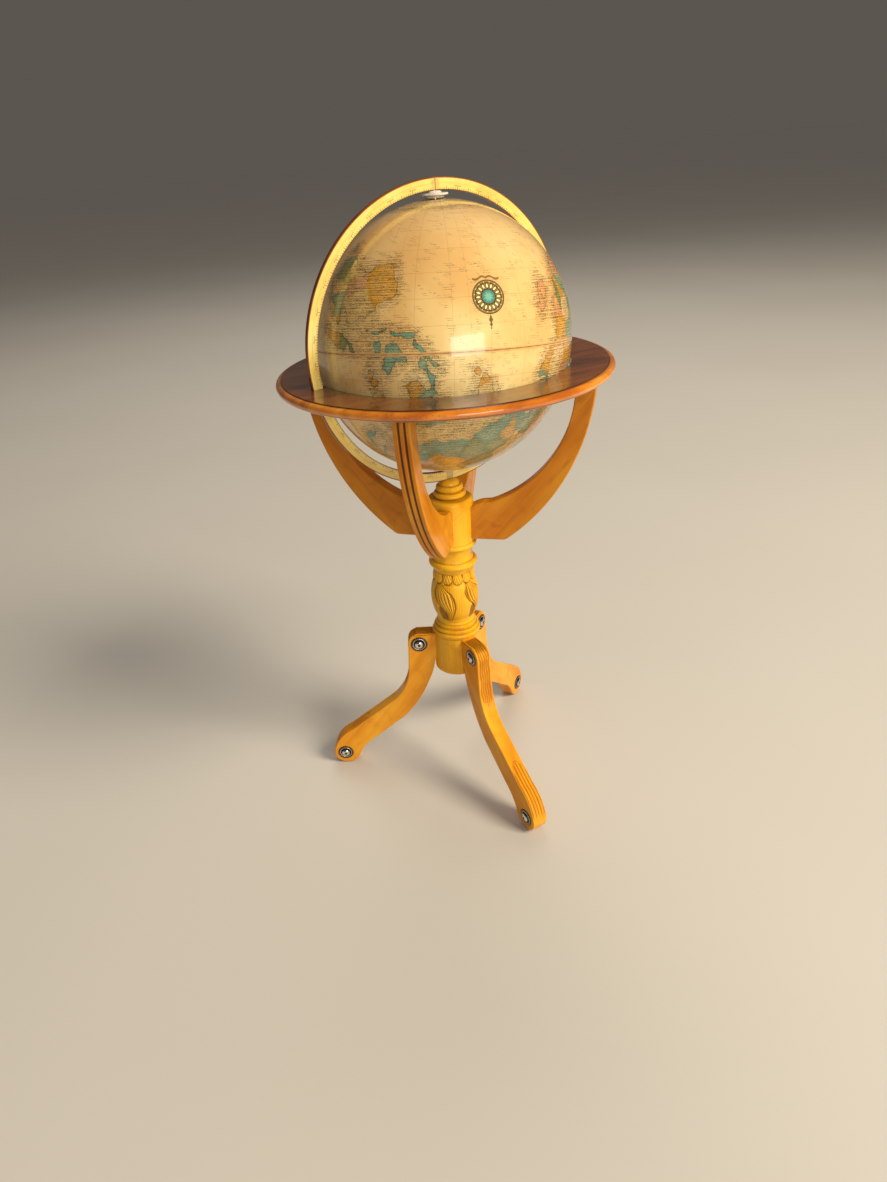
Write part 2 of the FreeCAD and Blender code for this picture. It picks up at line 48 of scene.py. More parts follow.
BALL_CENTRE = Vector((0, 0, 0.638))
BALL_RADIUS = 0.1525
SHELL_WALL = 0.003
# The ball's halves, and the map on them, lean this far from the line of the pins, towards this bearing.
LEAN = math.radians(7.4)
LEAN_BEARING = math.radians(50)
# The map hangs south up.  Before the lean, its prime meridian lies on this bearing.
PRIME_BEARING = -25.9
ARM_ANGLES = (45, 135, 225, 315)
LEG_ANGLES = (30, 150, 270)
# Boards' thicknesses, and each rosette's distance from the column's axis and height.
ARM_THICK = 20
LEG_THICK = 22.5
ROSETTES = ((55.4, 217.0), (185.0, 20.8))


def srgb(red, green, blue):
    """A colour given as 0 to 255, as the shader wants it."""
    def linear(level):
        level /= 255
        return level / 12.92 if level <= 0.04045 else ((level + 0.055) / 1.055) ** 2.4
    return (linear(red), linear(green), linear(blue), 1.0)


# ---------------------------------------------------------------- node materials

class Net:
    """A node material: one Principled shader and the nodes that feed it."""

    def __init__(self, name, **sockets):
        self.material = bpy.data.materials.new(name)
        self.material.use_nodes = True
        self.nodes = self.material.node_tree.nodes
        self.links = self.material.node_tree.links
        self.shader = self.nodes["Principled BSDF"]
        self.set(**sockets)

    def set(self, **sockets):
        for name, source in sockets.items():
            self.feed(self.shader.inputs[name.replace("_", " ")], source)

    def feed(self, socket, source):
        if isinstance(source, bpy.types.NodeSocket):
            self.links.new(source, socket)
        else:
            socket.default_value = source

    def node(self, kind, *inputs, **settings):
        node = self.nodes.new("ShaderNode" + kind)
        for name, value in settings.items():
            setattr(node, name, value)
        for socket, value in zip(node.inputs, inputs):
            if value is not None:
                self.feed(socket, value)
        return node

    def math(self, operation, *values):
        return self.node("Math", *values, operation=operation).outputs[0]

    def add(self, *values):
        total = values[0]
        for value in values[1:]:
            total = self.math("ADD", total, value)
        return total

    def times(self, *values):
        total = values[0]
        for value in values[1:]:
            total = self.math("MULTIPLY", total, value)
        return total

    def vector(self, operation, *values):
        node = self.node("VectorMath", *values, operation=operation)
        return node.outputs["Value" if operation in ("DOT_PRODUCT", "LENGTH") else "Vector"]

    def split(self, vector):
        return self.node("SeparateXYZ", vector).outputs

    def join(self, x, y, z=0.0):
        return self.node("CombineXYZ", x, y, z).outputs[0]

    def mix(self, factor, first, second, blend="MIX"):
        node = self.nodes.new("ShaderNodeMix")
        node.data_type = "RGBA"
        node.blend_type = blend
        for index, value in ((0, factor), (6, first), (7, second)):
            self.feed(node.inputs[index], value)
        return node.outputs[2]

    def noise(self, place, scale, detail=3.0, roughness=0.5, distortion=0.0):
        node = self.node("TexNoise", place)
        node.inputs["Scale"].default_value = scale
        node.inputs["Detail"].default_value = detail
        node.inputs["Roughness"].default_value = roughness
        node.inputs["Distortion"].default_value = distortion
        return node.outputs[0]

    def step(self, value, low, high, first=0.0, last=1.0):
        """first below low, last above high, and a smooth change between them."""
        node = self.node("MapRange", value, low, high, first, last, interpolation_type="SMOOTHSTEP")
        return node.outputs[0]

    def line(self, value, centre, half, soft):
        """1 within half of centre, 0 beyond half + soft."""
        off = self.math("ABSOLUTE", self.math("SUBTRACT", value, centre))
        return self.step(off, half, half + soft, 1.0, 0.0)

    def repeat(self, value, pitch):
        """Distance from the nearest multiple of pitch."""
        turned = self.math("PINGPONG", value, pitch / 2)
        return turned

    def ramp(self, value, *stops):
        node = self.node("ValToRGB", value)
        elements = node.color_ramp.elements
        while len(elements) < len(stops):
            elements.new(0.5)
        for element, (position, colour) in zip(elements, stops):
            element.position = position
            element.color = colour
        return node.outputs[0]

    def mark(self, name, output="Fac"):
        return self.node("Attribute", attribute_name=name).outputs[output]

    def place(self):
        return self.node("TexCoord").outputs["Object"]

    def bump(self, height, strength, distance):
        node = self.nodes.new("ShaderNodeBump")
        node.inputs["Strength"].default_value = strength
        node.inputs["Distance"].default_value = distance
        self.feed(node.inputs["Height"], height)
        self.set(Normal=node.outputs[0])


def wood(name, light, middle, dark, marked=False, gloss=0.16, shade_strength=0.55, quirks=()):
    """Varnished wood with painted shade in its hollows; the grain runs along Z or the piece's own grain mark.

    quirks are the heights of a turning's quirks, and how wide the darkened line is in each; these lines are
    partly dark joints and partly painted shade.
    """
    net = Net(name, Coat_Weight=0.4, Coat_Roughness=gloss, Coat_IOR=1.5, Specular_IOR_Level=0.08)
    place = net.mark("grain", "Vector") if marked else net.place()
    spread = (5.0, 38.0, 38.0) if marked else (38.0, 38.0, 5.0)
    fine = (18.0, 420.0, 420.0) if marked else (420.0, 420.0, 18.0)
    broad = net.noise(net.vector("MULTIPLY", place, spread), 1.0, 3.0, 0.55, 0.8)
    pores = net.noise(net.vector("MULTIPLY", place, fine), 1.0, 2.0, 0.6)
    streak = net.step(pores, 0.56, 0.72)
    cloud = net.noise(place, 17.0, 2.0)
    tone = net.add(net.times(broad, 0.75), net.times(cloud, 0.4), net.times(pores, 0.12))
    colour = net.ramp(tone, (0.3, dark), (0.6, middle), (0.9, light))
    colour = net.mix(net.times(streak, 0.28), colour, dark)
    worn = net.step(net.noise(place, 42.0, 3.0, 0.6, 0.6), 0.52, 0.72)
    colour = net.mix(net.times(worn, 0.35), colour, dark)
    hollow = net.mark("hollow")
    for height, half in quirks:
        gathered = net.line(net.split(net.place())[2], height * MM, half * MM, half * MM)
        hollow = net.math("MAXIMUM", hollow, net.times(gathered, 0.55))
    # Painted shade: the hollows and the quirks are darkened towards a deep brown.
    painted_shade = tuple(level * 0.22 for level in dark[:3]) + (1.0,)
    colour = net.mix(net.times(net.step(hollow, 0.1, 1.0), shade_strength), colour, painted_shade)
    # Painted highlight: the edge mark lightens rounded corners and the raised carving.
    edge_highlight = net.step(net.mark("edge"), 0.2, 1.0)
    colour = net.mix(net.times(edge_highlight, 0.3), colour, light)
    rough = net.add(0.3, net.times(pores, 0.18), net.times(hollow, 0.2))
    net.set(Base_Color=colour, Roughness=rough)
    net.bump(net.add(net.times(streak, -0.5), net.times(broad, 0.4)), 0.12, 0.0004)
    return net.material


def metal(name, light, dark, roughness, scratch=900.0, worn=0.5):
    """Polished or plated metal with fine scratches, darkened where the hollow mark is set: painted shade and
    a painted dark reflection on the rosettes.
    """
    net = Net(name, Metallic=1.0)
    place = net.place()
    cloud = net.noise(place, 90.0, 4.0)
    lines = net.noise(net.vector("MULTIPLY", place, (1.0, 1.0, 6.0)), scratch, 2.0)
    hollow = net.step(net.mark("hollow"), 0.15, 0.9)
    colour = net.mix(net.times(cloud, worn), light, dark)
    # Painted shade and painted dark reflection where the hollow mark is set.
    net.set(Base_Color=net.mix(hollow, colour, tuple(c * 0.12 for c in dark[:3]) + (1.0,)),
            Roughness=net.add(roughness, net.times(lines, 0.1), net.times(hollow, 0.35)))
    net.bump(lines, 0.05, 0.0001)
    return net.material


def plain_stuff(name, light, dark, roughness, scale=60.0, coat=0.0):
    """Card, bare board, plastic: a mottled colour with a fine tooth."""
    net = Net(name, Coat_Weight=coat, Coat_Roughness=0.15)
    place = net.place()
    cloud = net.noise(place, scale, 4.0, 0.6)
    tooth = net.noise(place, scale * 22, 2.0)
    net.set(Base_Color=net.mix(net.step(cloud, 0.3, 0.7), dark, light),
            Roughness=net.add(roughness, net.times(tooth, 0.12)))
    net.bump(tooth, 0.15, 0.0001)
    return net.material


def horizon_wood():
    """Dark polished top, amber rounded edge, a painted shadow line in the quirk between them and a second one
    lower on the edge, and painted shade on the inner rim by the ball.
    """
    net = Net("horizon_wood", Coat_Weight=1.0, Coat_Roughness=0.05, Specular_IOR_Level=0.5)
    place = net.place()
    x, y, z = net.split(place)
    reach = net.vector("LENGTH", net.join(x, y))
    broad = net.noise(net.vector("MULTIPLY", place, (5.0, 34.0, 34.0)), 1.0, 3.0, 0.55, 0.8)
    pores = net.noise(net.vector("MULTIPLY", place, (16.0, 380.0, 380.0)), 1.0, 2.0, 0.6)
    streak = net.step(pores, 0.54, 0.7)
    tone = net.add(net.times(broad, 0.8), net.times(pores, 0.2))
    top = net.ramp(tone, (0.35, srgb(82, 38, 12)), (0.55, srgb(126, 66, 22)), (0.75, srgb(160, 94, 32)))
    edge = net.ramp(tone, (0.35, srgb(178, 90, 16)), (0.55, srgb(220, 128, 30)), (0.75, srgb(242, 162, 56)))
    amber = net.step(reach, 0.1955, 0.1972)
    colour = net.mix(amber, top, edge)
    colour = net.mix(net.times(streak, 0.35), colour, srgb(48, 20, 10))
    # Painted shadow lines: one in the quirk between top and edge, one lower on the edge.
    quirk_shadow = net.math("MAXIMUM", net.line(reach, 0.1963, 0.0003, 0.0006),
                     net.times(net.line(z, 0.6034, 0.0004, 0.0005), amber))
    colour = net.mix(net.times(quirk_shadow, 0.8), colour, srgb(40, 14, 6))
    # Painted shade on the inner rim, where the ring meets the ball.
    inside = net.step(reach, 0.1529, 0.1536, 1.0, 0.0)
    colour = net.mix(net.times(inside, 0.75), colour, srgb(52, 22, 12))
    net.set(Base_Color=colour, Roughness=net.add(0.22, net.times(pores, 0.15)))
    net.bump(net.add(net.times(streak, -0.5), net.times(broad, 0.3)), 0.08, 0.0003)
    return net.material


def scale_paper():
    """Varnished yellow paper with a degree scale: long, middle and short ticks inside a ruled line."""
    net = Net("scale_paper", Coat_Weight=0.8, Coat_Roughness=0.14)
    place = net.place()
    x, _, z = net.split(place)
    across = net.times(x, 1 / MM)
    rise = net.times(net.math("SUBTRACT", z, BALL_CENTRE.z), 1 / MM)
    reach = net.vector("LENGTH", net.join(across, rise))
    degrees = net.times(net.math("ARCTAN2", across, rise), 180 / math.pi)
    cloud = net.noise(place, 26.0, 4.0, 0.6)
    paper = net.ramp(cloud, (0.3, srgb(232, 192, 92)), (0.5, srgb(246, 214, 112)),
                     (0.7, srgb(252, 226, 136)))
    ink = net.times(net.line(net.repeat(degrees, 1.0), 0.0, 0.07, 0.07),
                    net.step(reach, 162.9, 163.2, 1.0, 0.0))
    for pitch, end in ((5.0, 164.2), (10.0, 165.6)):
        tick = net.line(net.repeat(degrees, pitch), 0.0, 0.09, 0.07)
        ink = net.math("MAXIMUM", ink, net.times(tick, net.step(reach, end, end + 0.3, 1.0, 0.0)))
    beside = net.math("SUBTRACT", net.repeat(net.add(degrees, 5.0), 10.0), 4.1)
    stroke = net.noise(net.join(net.times(degrees, 3.2), net.times(reach, 1.6)), 1.0, 1.0)
    figure = net.times(net.line(beside, 0.0, 0.55, 0.1), net.line(reach, 165.2, 0.75, 0.2))
    ink = net.math("MAXIMUM", ink, net.times(figure, net.step(stroke, 0.47, 0.52), 0.8))
    for ruled in (162.0, 167.4):
        ink = net.math("MAXIMUM", ink, net.times(net.line(reach, ruled, 0.08, 0.12), 0.6))
    colour = net.mix(net.times(ink, 0.75), paper, srgb(70, 40, 16))
    # Painted shade: the outer band is brown for the meridian's outer rim in shade.
    rim = net.step(reach, 172.5, 172.8)
    colour = net.mix(net.times(rim, 0.85), colour, srgb(132, 52, 16))
    colour = net.mix(net.times(net.line(reach, 172.5, 0.1, 0.2), 0.8), colour, srgb(52, 22, 10))
    net.set(Base_Color=colour, Roughness=0.38)
    net.bump(net.noise(place, 700.0, 2.0), 0.06, 0.0002)
    return net.material


def splice_paint():
    """Plates lacquered like the scale, with the ring's joint showing as a dark line at the upper pole; the
    lower plate, under the ball, is painted darker as shade, with painted shadow along its edges.
    """
    net = Net("splice_paint", Metallic=0.25, Coat_Weight=0.5, Coat_Roughness=0.2)
    place = net.place()
    x, _, z = net.split(place)
    off = net.math("ABSOLUTE", x)
    upper = net.step(z, BALL_CENTRE.z, BALL_CENTRE.z + 0.01)
    cloud = net.noise(place, 140.0, 4.0, 0.7)
    # Painted shade: the lower plate is darker and greyer than the upper one.
    paint = net.mix(upper, srgb(206, 178, 108), srgb(240, 204, 112))
    colour = net.mix(net.step(cloud, 0.52, 0.75), paint, srgb(176, 132, 66))
    joint = net.times(net.step(off, 0.0003, 0.0005, 1.0, 0.0), upper)
    # Painted shadow along the plates' edges, strongest on the lower plate.
    rim = net.times(net.step(off, 0.0041, 0.0044), net.math("SUBTRACT", 1.0, net.times(upper, 0.7)))
    colour = net.mix(net.times(net.math("MAXIMUM", joint, rim), 0.85), colour, srgb(58, 34, 16))
    net.set(Base_Color=colour, Roughness=net.add(0.3, net.times(cloud, 0.2)))
    net.bump(cloud, 0.08, 0.0002)
    return net.material


def tape_print():
    """The equator's printed tape: map-coloured paper with one dark rule ticked at every degree."""
    net = Net("tape_print", Coat_Weight=0.9, Coat_Roughness=0.08)
    place = net.vector("SUBTRACT", net.place(), tuple(BALL_CENTRE))
    pole = (math.sin(LEAN) * math.cos(LEAN_BEARING), math.sin(LEAN) * math.sin(LEAN_BEARING),
            math.cos(LEAN))
    rise = net.times(net.vector("DOT_PRODUCT", place, pole), 1 / MM)
    x, y, _ = net.split(place)
    degrees = net.times(net.math("ARCTAN2", y, x), 180 / math.pi)
    cloud = net.noise(place, 16.0, 4.0, 0.6)
    paper = net.mix(cloud, srgb(212, 156, 86), srgb(234, 186, 116))
    rule = net.line(rise, 0.0, 0.2, 0.15)
    tick = net.times(net.line(net.repeat(degrees, 1.0), 0.0, 0.12, 0.08), net.step(rise, -0.1, 0.0))
    tick = net.times(tick, net.step(rise, 0.75, 0.9, 1.0, 0.0))
    five = net.times(net.line(net.math("ABSOLUTE", rise), 0.5, 0.18, 0.1),
                     net.step(net.math("SINE", net.times(degrees, math.pi / 2.5)), -0.1, 0.1))
    ink = net.math("MAXIMUM", net.math("MAXIMUM", rule, net.times(tick, 0.7)), net.times(five, 0.45))
    net.set(Base_Color=net.mix(net.times(ink, 0.8), paper, srgb(72, 46, 22)), Roughness=0.4)
    net.bump(net.noise(place, 900.0, 2.0), 0.05, 0.0001)
    return net.material


def compass_rose(net, spot, colour):
    """A printed compass rose with a ribbon and a pendant, drawn round one direction on the map."""
    latitude, longitude = (math.radians(angle) for angle in (-19.6, 74.8))
    out = Vector((math.cos(latitude) * math.cos(longitude), math.cos(latitude) * math.sin(longitude),
                  math.sin(latitude)))
    east = Vector((-math.sin(longitude), math.cos(longitude), 0))
    south = -out.cross(east)
    size = BALL_RADIUS / MM
    # The map is seen south up, where east lies on the left.
    right = net.times(net.vector("DOT_PRODUCT", spot, tuple(-east)), size)
    rise = net.times(net.vector("DOT_PRODUCT", spot, tuple(south)), size)
    near = net.step(net.vector("DOT_PRODUCT", spot, tuple(out)), 0.9, 0.92)
    reach = net.vector("LENGTH", net.join(right, rise))
    turn = net.math("ARCTAN2", right, rise)
    petals = 16
    spoke = net.repeat(turn, 2 * math.pi / petals)
    arc = net.times(spoke, reach)
    dark = srgb(64, 48, 20)
    ring = net.step(reach, 16.8, 17.2, 1.0, 0.0)
    colour = net.mix(net.times(ring, near, 0.85), colour, srgb(132, 104, 50))
    long_way = net.times(net.math("SUBTRACT", reach, 11.0), 1 / 3.0)
    petal = net.vector("LENGTH", net.join(long_way, net.times(arc, 1 / 1.45)))
    colour = net.mix(net.times(net.step(petal, 1.0, 1.25, 1.0, 0.0), near), colour, dark)
    colour = net.mix(net.times(net.step(petal, 0.62, 0.82, 1.0, 0.0), near), colour, srgb(246, 226, 160))
    bead = net.vector("LENGTH", net.join(net.math("SUBTRACT", reach, 14.9),
                                         net.math("SUBTRACT", arc, math.pi * 14.9 / petals)))
    colour = net.mix(net.times(net.step(bead, 0.5, 0.7, 1.0, 0.0), near), colour, srgb(240, 216, 140))
    for radius in (7.4, 14.0, 16.8):
        colour = net.mix(net.times(net.line(reach, radius, 0.35, 0.25), near, 0.95), colour, dark)
    centre = net.times(net.step(reach, 6.6, 6.9, 1.0, 0.0), near)
    # Teal centre with a painted highlight: light in its middle, darker outwards.
    teal_with_highlight = net.mix(net.step(reach, 0.0, 6.5), srgb(150, 214, 190), srgb(66, 140, 120))
    colour = net.mix(centre, colour, teal_with_highlight)
    star = net.times(net.repeat(net.add(turn, math.pi / 4), math.pi / 4), reach)
    colour = net.mix(net.times(net.step(star, 0.35, 0.6, 1.0, 0.0), centre, 0.35), colour, dark)
    # Ribbon: two mirrored curls over the ring.
    side = net.math("ABSOLUTE", right)
    wave = net.add(19.3, net.times(net.math("SINE", net.times(side, 0.42)), 1.5))
    ribbon = net.times(net.line(rise, wave, 0.85, 0.5), net.step(side, 14.0, 14.8, 1.0, 0.0))
    colour = net.mix(net.times(ribbon, near, 0.85), colour, srgb(112, 84, 36))
    # Pendant: three drops under the ring, each smaller than the one above.
    for drop, half in ((-19.4, 1.0), (-22.6, 2.3), (-27.0, 1.6), (-30.4, 0.8)):
        wide = net.add(net.math("ABSOLUTE", right),
                       net.times(net.math("ABSOLUTE", net.math("SUBTRACT", rise, drop)), 0.75))
        colour = net.mix(net.times(net.step(wide, half, half + 0.4, 1.0, 0.0), near, 0.85), colour, dark)
    return colour


def map_paper():
    """The printed map: tinted lands, hatched coasts, graticule and small print, aged and varnished, with
    painted shade over its upper, southern part.
    """
    net = Net("map_paper", Coat_Weight=1.0, Coat_Roughness=0.12, Specular_IOR_Level=0.35)
    spot = net.mark("map_place", "Vector")
    shore = net.mark("shore")
    border = net.mark("border")
    tint = net.mark("tint", "Color")
    x, y, z = net.split(net.vector("NORMALIZE", spot))
    latitude = net.times(net.math("ARCSINE", z), 180 / math.pi)
    longitude = net.times(net.math("ARCTAN2", y, x), 180 / math.pi)
    level = net.math("COSINE", net.math("ARCSINE", z))
    eastward = net.times(longitude, level)

    # Coasts wander between the plotted points.
    wander = net.math("SUBTRACT", net.noise(spot, 14.0, 5.0, 0.62), 0.5)
    coast = net.add(shore, net.times(wander, 4.2))
    land = net.step(coast, -0.06, 0.06, 1.0, 0.0)

    age = net.noise(spot, 1.6, 3.0, 0.5)
    sea = net.ramp(age, (0.36, srgb(228, 182, 110)), (0.5, srgb(240, 204, 132)),
                   (0.64, srgb(246, 220, 152)))
    # Painted shade: the sea darkens towards the south, which hangs at the top.
    painted_upper_shade = net.step(latitude, -70.0, 12.0, 1.0, 0.0)
    sea = net.mix(net.times(painted_upper_shade, 0.6), sea, srgb(196, 140, 82))
    foxed = net.noise(spot, 30.0, 4.0, 0.7)
    blotch = net.noise(spot, 9.0, 4.0, 0.6)
    wash = net.step(blotch, 0.3, 0.7, 0.72, 0.98)
    rim = net.math("MINIMUM", net.math("ABSOLUTE", coast), border)
    wash = net.times(wash, net.step(rim, 0.2, 2.2, 1.0, 0.82))
    ground = net.mix(wash, sea, tint)
    colour = net.mix(land, sea, ground)

    ink = srgb(74, 50, 22)
    brown = srgb(128, 84, 38)

    # Strokes along the parallels off every coast.
    row = net.math("FLOOR", net.times(latitude, 1 / 0.62))
    stroke = net.line(net.repeat(latitude, 0.62), 0.0, 0.07, 0.09)
    reach = net.noise(net.join(net.times(eastward, 0.55), net.times(row, 3.7)), 1.0, 1.0)
    past_stroke = net.math("SUBTRACT", coast, net.step(reach, 0.3, 0.75, 0.4, 3.6))
    fringe = net.step(past_stroke, -0.1, 0.1, 1.0, 0.0)
    sea_only = net.math("SUBTRACT", 1.0, land)
    colour = net.mix(net.times(stroke, fringe, sea_only, 0.5), colour, srgb(92, 84, 66))

    # Relief and rivers: thin wandering lines on land.
    relief = net.noise(spot, 11.0, 5.0, 0.68, 0.5)
    river = net.step(net.math("ABSOLUTE", net.math("SUBTRACT", relief, 0.5)), 0.003, 0.009, 1.0, 0.0)
    colour = net.mix(net.times(river, land, 0.5), colour, srgb(120, 92, 56))
    hills = net.noise(spot, 120.0, 3.0, 0.7)
    massif = net.step(net.noise(spot, 6.0, 3.0), 0.5, 0.62)
    colour = net.mix(net.times(net.step(hills, 0.52, 0.62), massif, land, 0.45), colour, brown)

    # Small print: broken marks in rows, thick on and near land and sparse at sea.
    near_land = net.step(shore, 1.0, 6.0, 1.0, 0.0)
    for pitch, along, share, seed in ((0.95, 2.6, 0.36, 3.1), (1.55, 1.7, 0.46, 9.7), (0.7, 3.6, 0.5, 5.2)):
        line_number = net.math("FLOOR", net.times(net.add(latitude, seed), 1 / pitch))
        off = net.repeat(net.add(latitude, seed, pitch / 2), pitch)
        body = net.line(off, pitch / 2, pitch * 0.17, pitch * 0.08)
        letters = net.noise(net.join(net.times(eastward, along), net.times(latitude, 2.4 / pitch), seed),
                            1.9, 2.0, 0.75)
        words = net.noise(net.join(net.times(eastward, 0.24), net.times(line_number, 5.3), seed), 1.0, 1.0)
        share_here = net.add(share, net.times(net.math("SUBTRACT", 1.0, near_land), 0.25))
        worded = net.step(net.math("SUBTRACT", words, share_here), 0.0, 0.02)
        marks = net.times(net.step(letters, 0.5, 0.54), body, worded)
        colour = net.mix(net.times(marks, 0.9), colour, ink)

    # Coast and border lines.
    colour = net.mix(net.times(net.line(coast, 0.0, 0.08, 0.1), 0.7), colour, ink)
    dots = net.step(net.noise(spot, 160.0, 1.0), 0.42, 0.5)
    frontier = net.times(net.line(border, 0.0, 0.1, 0.1), land, dots)
    colour = net.mix(net.times(frontier, 0.6), colour, srgb(140, 60, 34))

    # Graticule: meridians every 15 degrees and parallels every 10.
    meridians = net.line(net.times(net.repeat(longitude, 15.0), level), 0.0, 0.06, 0.1)
    parallels = net.line(net.repeat(latitude, 10.0), 0.0, 0.06, 0.1)
    off_poles = net.step(net.math("ABSOLUTE", latitude), 79.0, 80.5, 1.0, 0.0)
    grid = net.times(net.math("MAXIMUM", meridians, parallels), off_poles)
    colour = net.mix(net.times(grid, 0.24), colour, brown)

    colour = compass_rose(net, spot, colour)
    gores = net.line(net.times(net.repeat(net.add(longitude, 7.0), 30.0), level), 0.0, 0.05, 0.14)
    colour = net.mix(net.times(gores, 0.16), colour, srgb(120, 76, 40))
    colour = net.mix(net.times(net.step(foxed, 0.56, 0.8), 0.22), colour, srgb(168, 104, 52))
    net.set(Base_Color=colour, Roughness=net.step(foxed, 0.3, 0.8, 0.42, 0.55))
    net.bump(net.add(net.times(gores, 0.8), net.times(net.noise(spot, 60.0, 3.0), 0.25)), 0.05, 0.0006)
    return net.material


# ---------------------------------------------------------------- the map's lands

